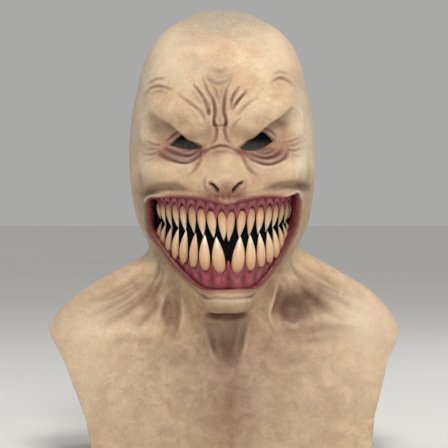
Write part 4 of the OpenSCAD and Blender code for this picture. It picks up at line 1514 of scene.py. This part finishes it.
def on_back(p):
    """Points of the zipper's own frame (Z up along the back, Y out of it) in the mask's frame."""
    p = np.asarray(p, float)
    c, s = math.cos(ZIP_SLOPE), math.sin(ZIP_SLOPE)
    return np.stack([p[..., 0], ZIP_TOP[1] + c * p[..., 1] - s * p[..., 2],
                     ZIP_TOP[2] + s * p[..., 1] + c * p[..., 2]], -1)


def make_tapes(material):
    z = np.linspace(-184, -4, 120)[:, None]
    for side, word in ((-1, "left"), (1, "right")):
        across = np.linspace(0.4, 11.4, 12)
        ripple = 0.12 * np.sin(z / 4.2) * across / 11.4
        x, zz = np.broadcast_to(side * across, ripple.shape), np.broadcast_to(z, ripple.shape)
        nets = [on_back(np.stack([x, y + ripple, zz], -1)) for y in (-4.75, -5.35)]
        piece = add_mesh(f"tape_{word}", *slab(*nets[::side]), material, "tape")
        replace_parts(piece, f"{word}_zip_tape")


# ------------------------------------------------------------------ build
def finish_cad_nodes():
    metal, nylon = metal_material(), nylon_material()
    for name, material, width in (("zip_slider", metal, 0.22), ("zip_pull_tab", metal, 0.25),
                                  ("zip_end_stops", metal, 0.3), ("left_zip_chain", nylon, 0.18),
                                  ("right_zip_chain", nylon, 0.18)):
        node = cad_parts[name]
        node.data.materials.clear()
        node.data.materials.append(material)
        bevel = node.modifiers.new("rounded", "BEVEL")
        bevel.width = width * MM
        bevel.segments = 2
        bevel.limit_method = "ANGLE"
        bevel.angle_limit = math.radians(50)


LIGHT_AIM = Vector((0, 0, 0.28))
FLOOR_HALF = 150.0
# Name, kind, place, size, power and colour
LIGHTS = [
    ("key", "AREA", (0.12, -1.2, 1.6), 0.65, 22, (1.0, 0.97, 0.92)),
    ("fill", "POINT", (0.8, -1.6, 0.5), 0.35, 6, (1.0, 0.98, 0.95)),
    ("rim_left", "POINT", (-1.3, 0.6, 0.8), 0.3, 8, (0.95, 0.97, 1.0)),
    ("rim_right", "POINT", (1.3, 0.6, 0.8), 0.3, 14, (0.95, 0.97, 1.0)),
]


def make_light(name, kind, place, size, power, colour):
    """A soft light that faces the mask."""
    data = bpy.data.lights.new(name, kind)
    setattr(data, "size" if kind == "AREA" else "shadow_soft_size", size)
    data.energy = power
    data.color = colour
    light = link(name, data)
    light.location = place
    light.rotation_euler = (LIGHT_AIM - Vector(place)).to_track_quat("-Z", "Y").to_euler()


def make_floor():
    mesh = bpy.data.meshes.new("floor")
    w = FLOOR_HALF
    mesh.from_pydata([(-w, -w, 0), (w, -w, 0), (w, w, 0), (-w, w, 0)], [], [(0, 1, 2, 3)])
    m = Nodes("pale_floor")
    pale = m.mix(m.fade(m.noise(900, 2), 0.3, 0.7), srgb(238, 237, 234), srgb(243, 242, 240))
    m.set(Base_Color=pale, Roughness=0.9, Specular_IOR_Level=0.1)
    mesh.materials.append(m.material)
    link("floor", mesh)


def make_world():
    world = bpy.data.worlds.new("studio")
    world.use_nodes = True
    backdrop = world.node_tree.nodes["Background"].inputs
    backdrop["Color"].default_value = (0.80, 0.80, 0.79, 1)
    backdrop["Strength"].default_value = 0.5
    bpy.context.scene.world = world
    bpy.context.scene.view_settings.view_transform = "Standard"


make_floor()
make_world()
for light in LIGHTS:
    make_light(*light)
skin = make_skin(latex_material())
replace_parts(skin, "latex_skin")
make_teeth(tooth_material())
gum = gum_material()
make_upper_gum(gum)
make_lower_gum(gum)
make_mouth_scrim(woven_material("mouth_net", srgb(4, 4, 4), srgb(20, 20, 20), 1.2))
make_eye_scrims(woven_material("eye_net", srgb(16, 16, 16), srgb(40, 40, 40), 0.9, srgb(176, 176, 170)))
make_tapes(woven_material("zip_twill", srgb(12, 12, 13), srgb(40, 40, 42), 0.8))
make_pads(foam_material())
finish_cad_nodes()
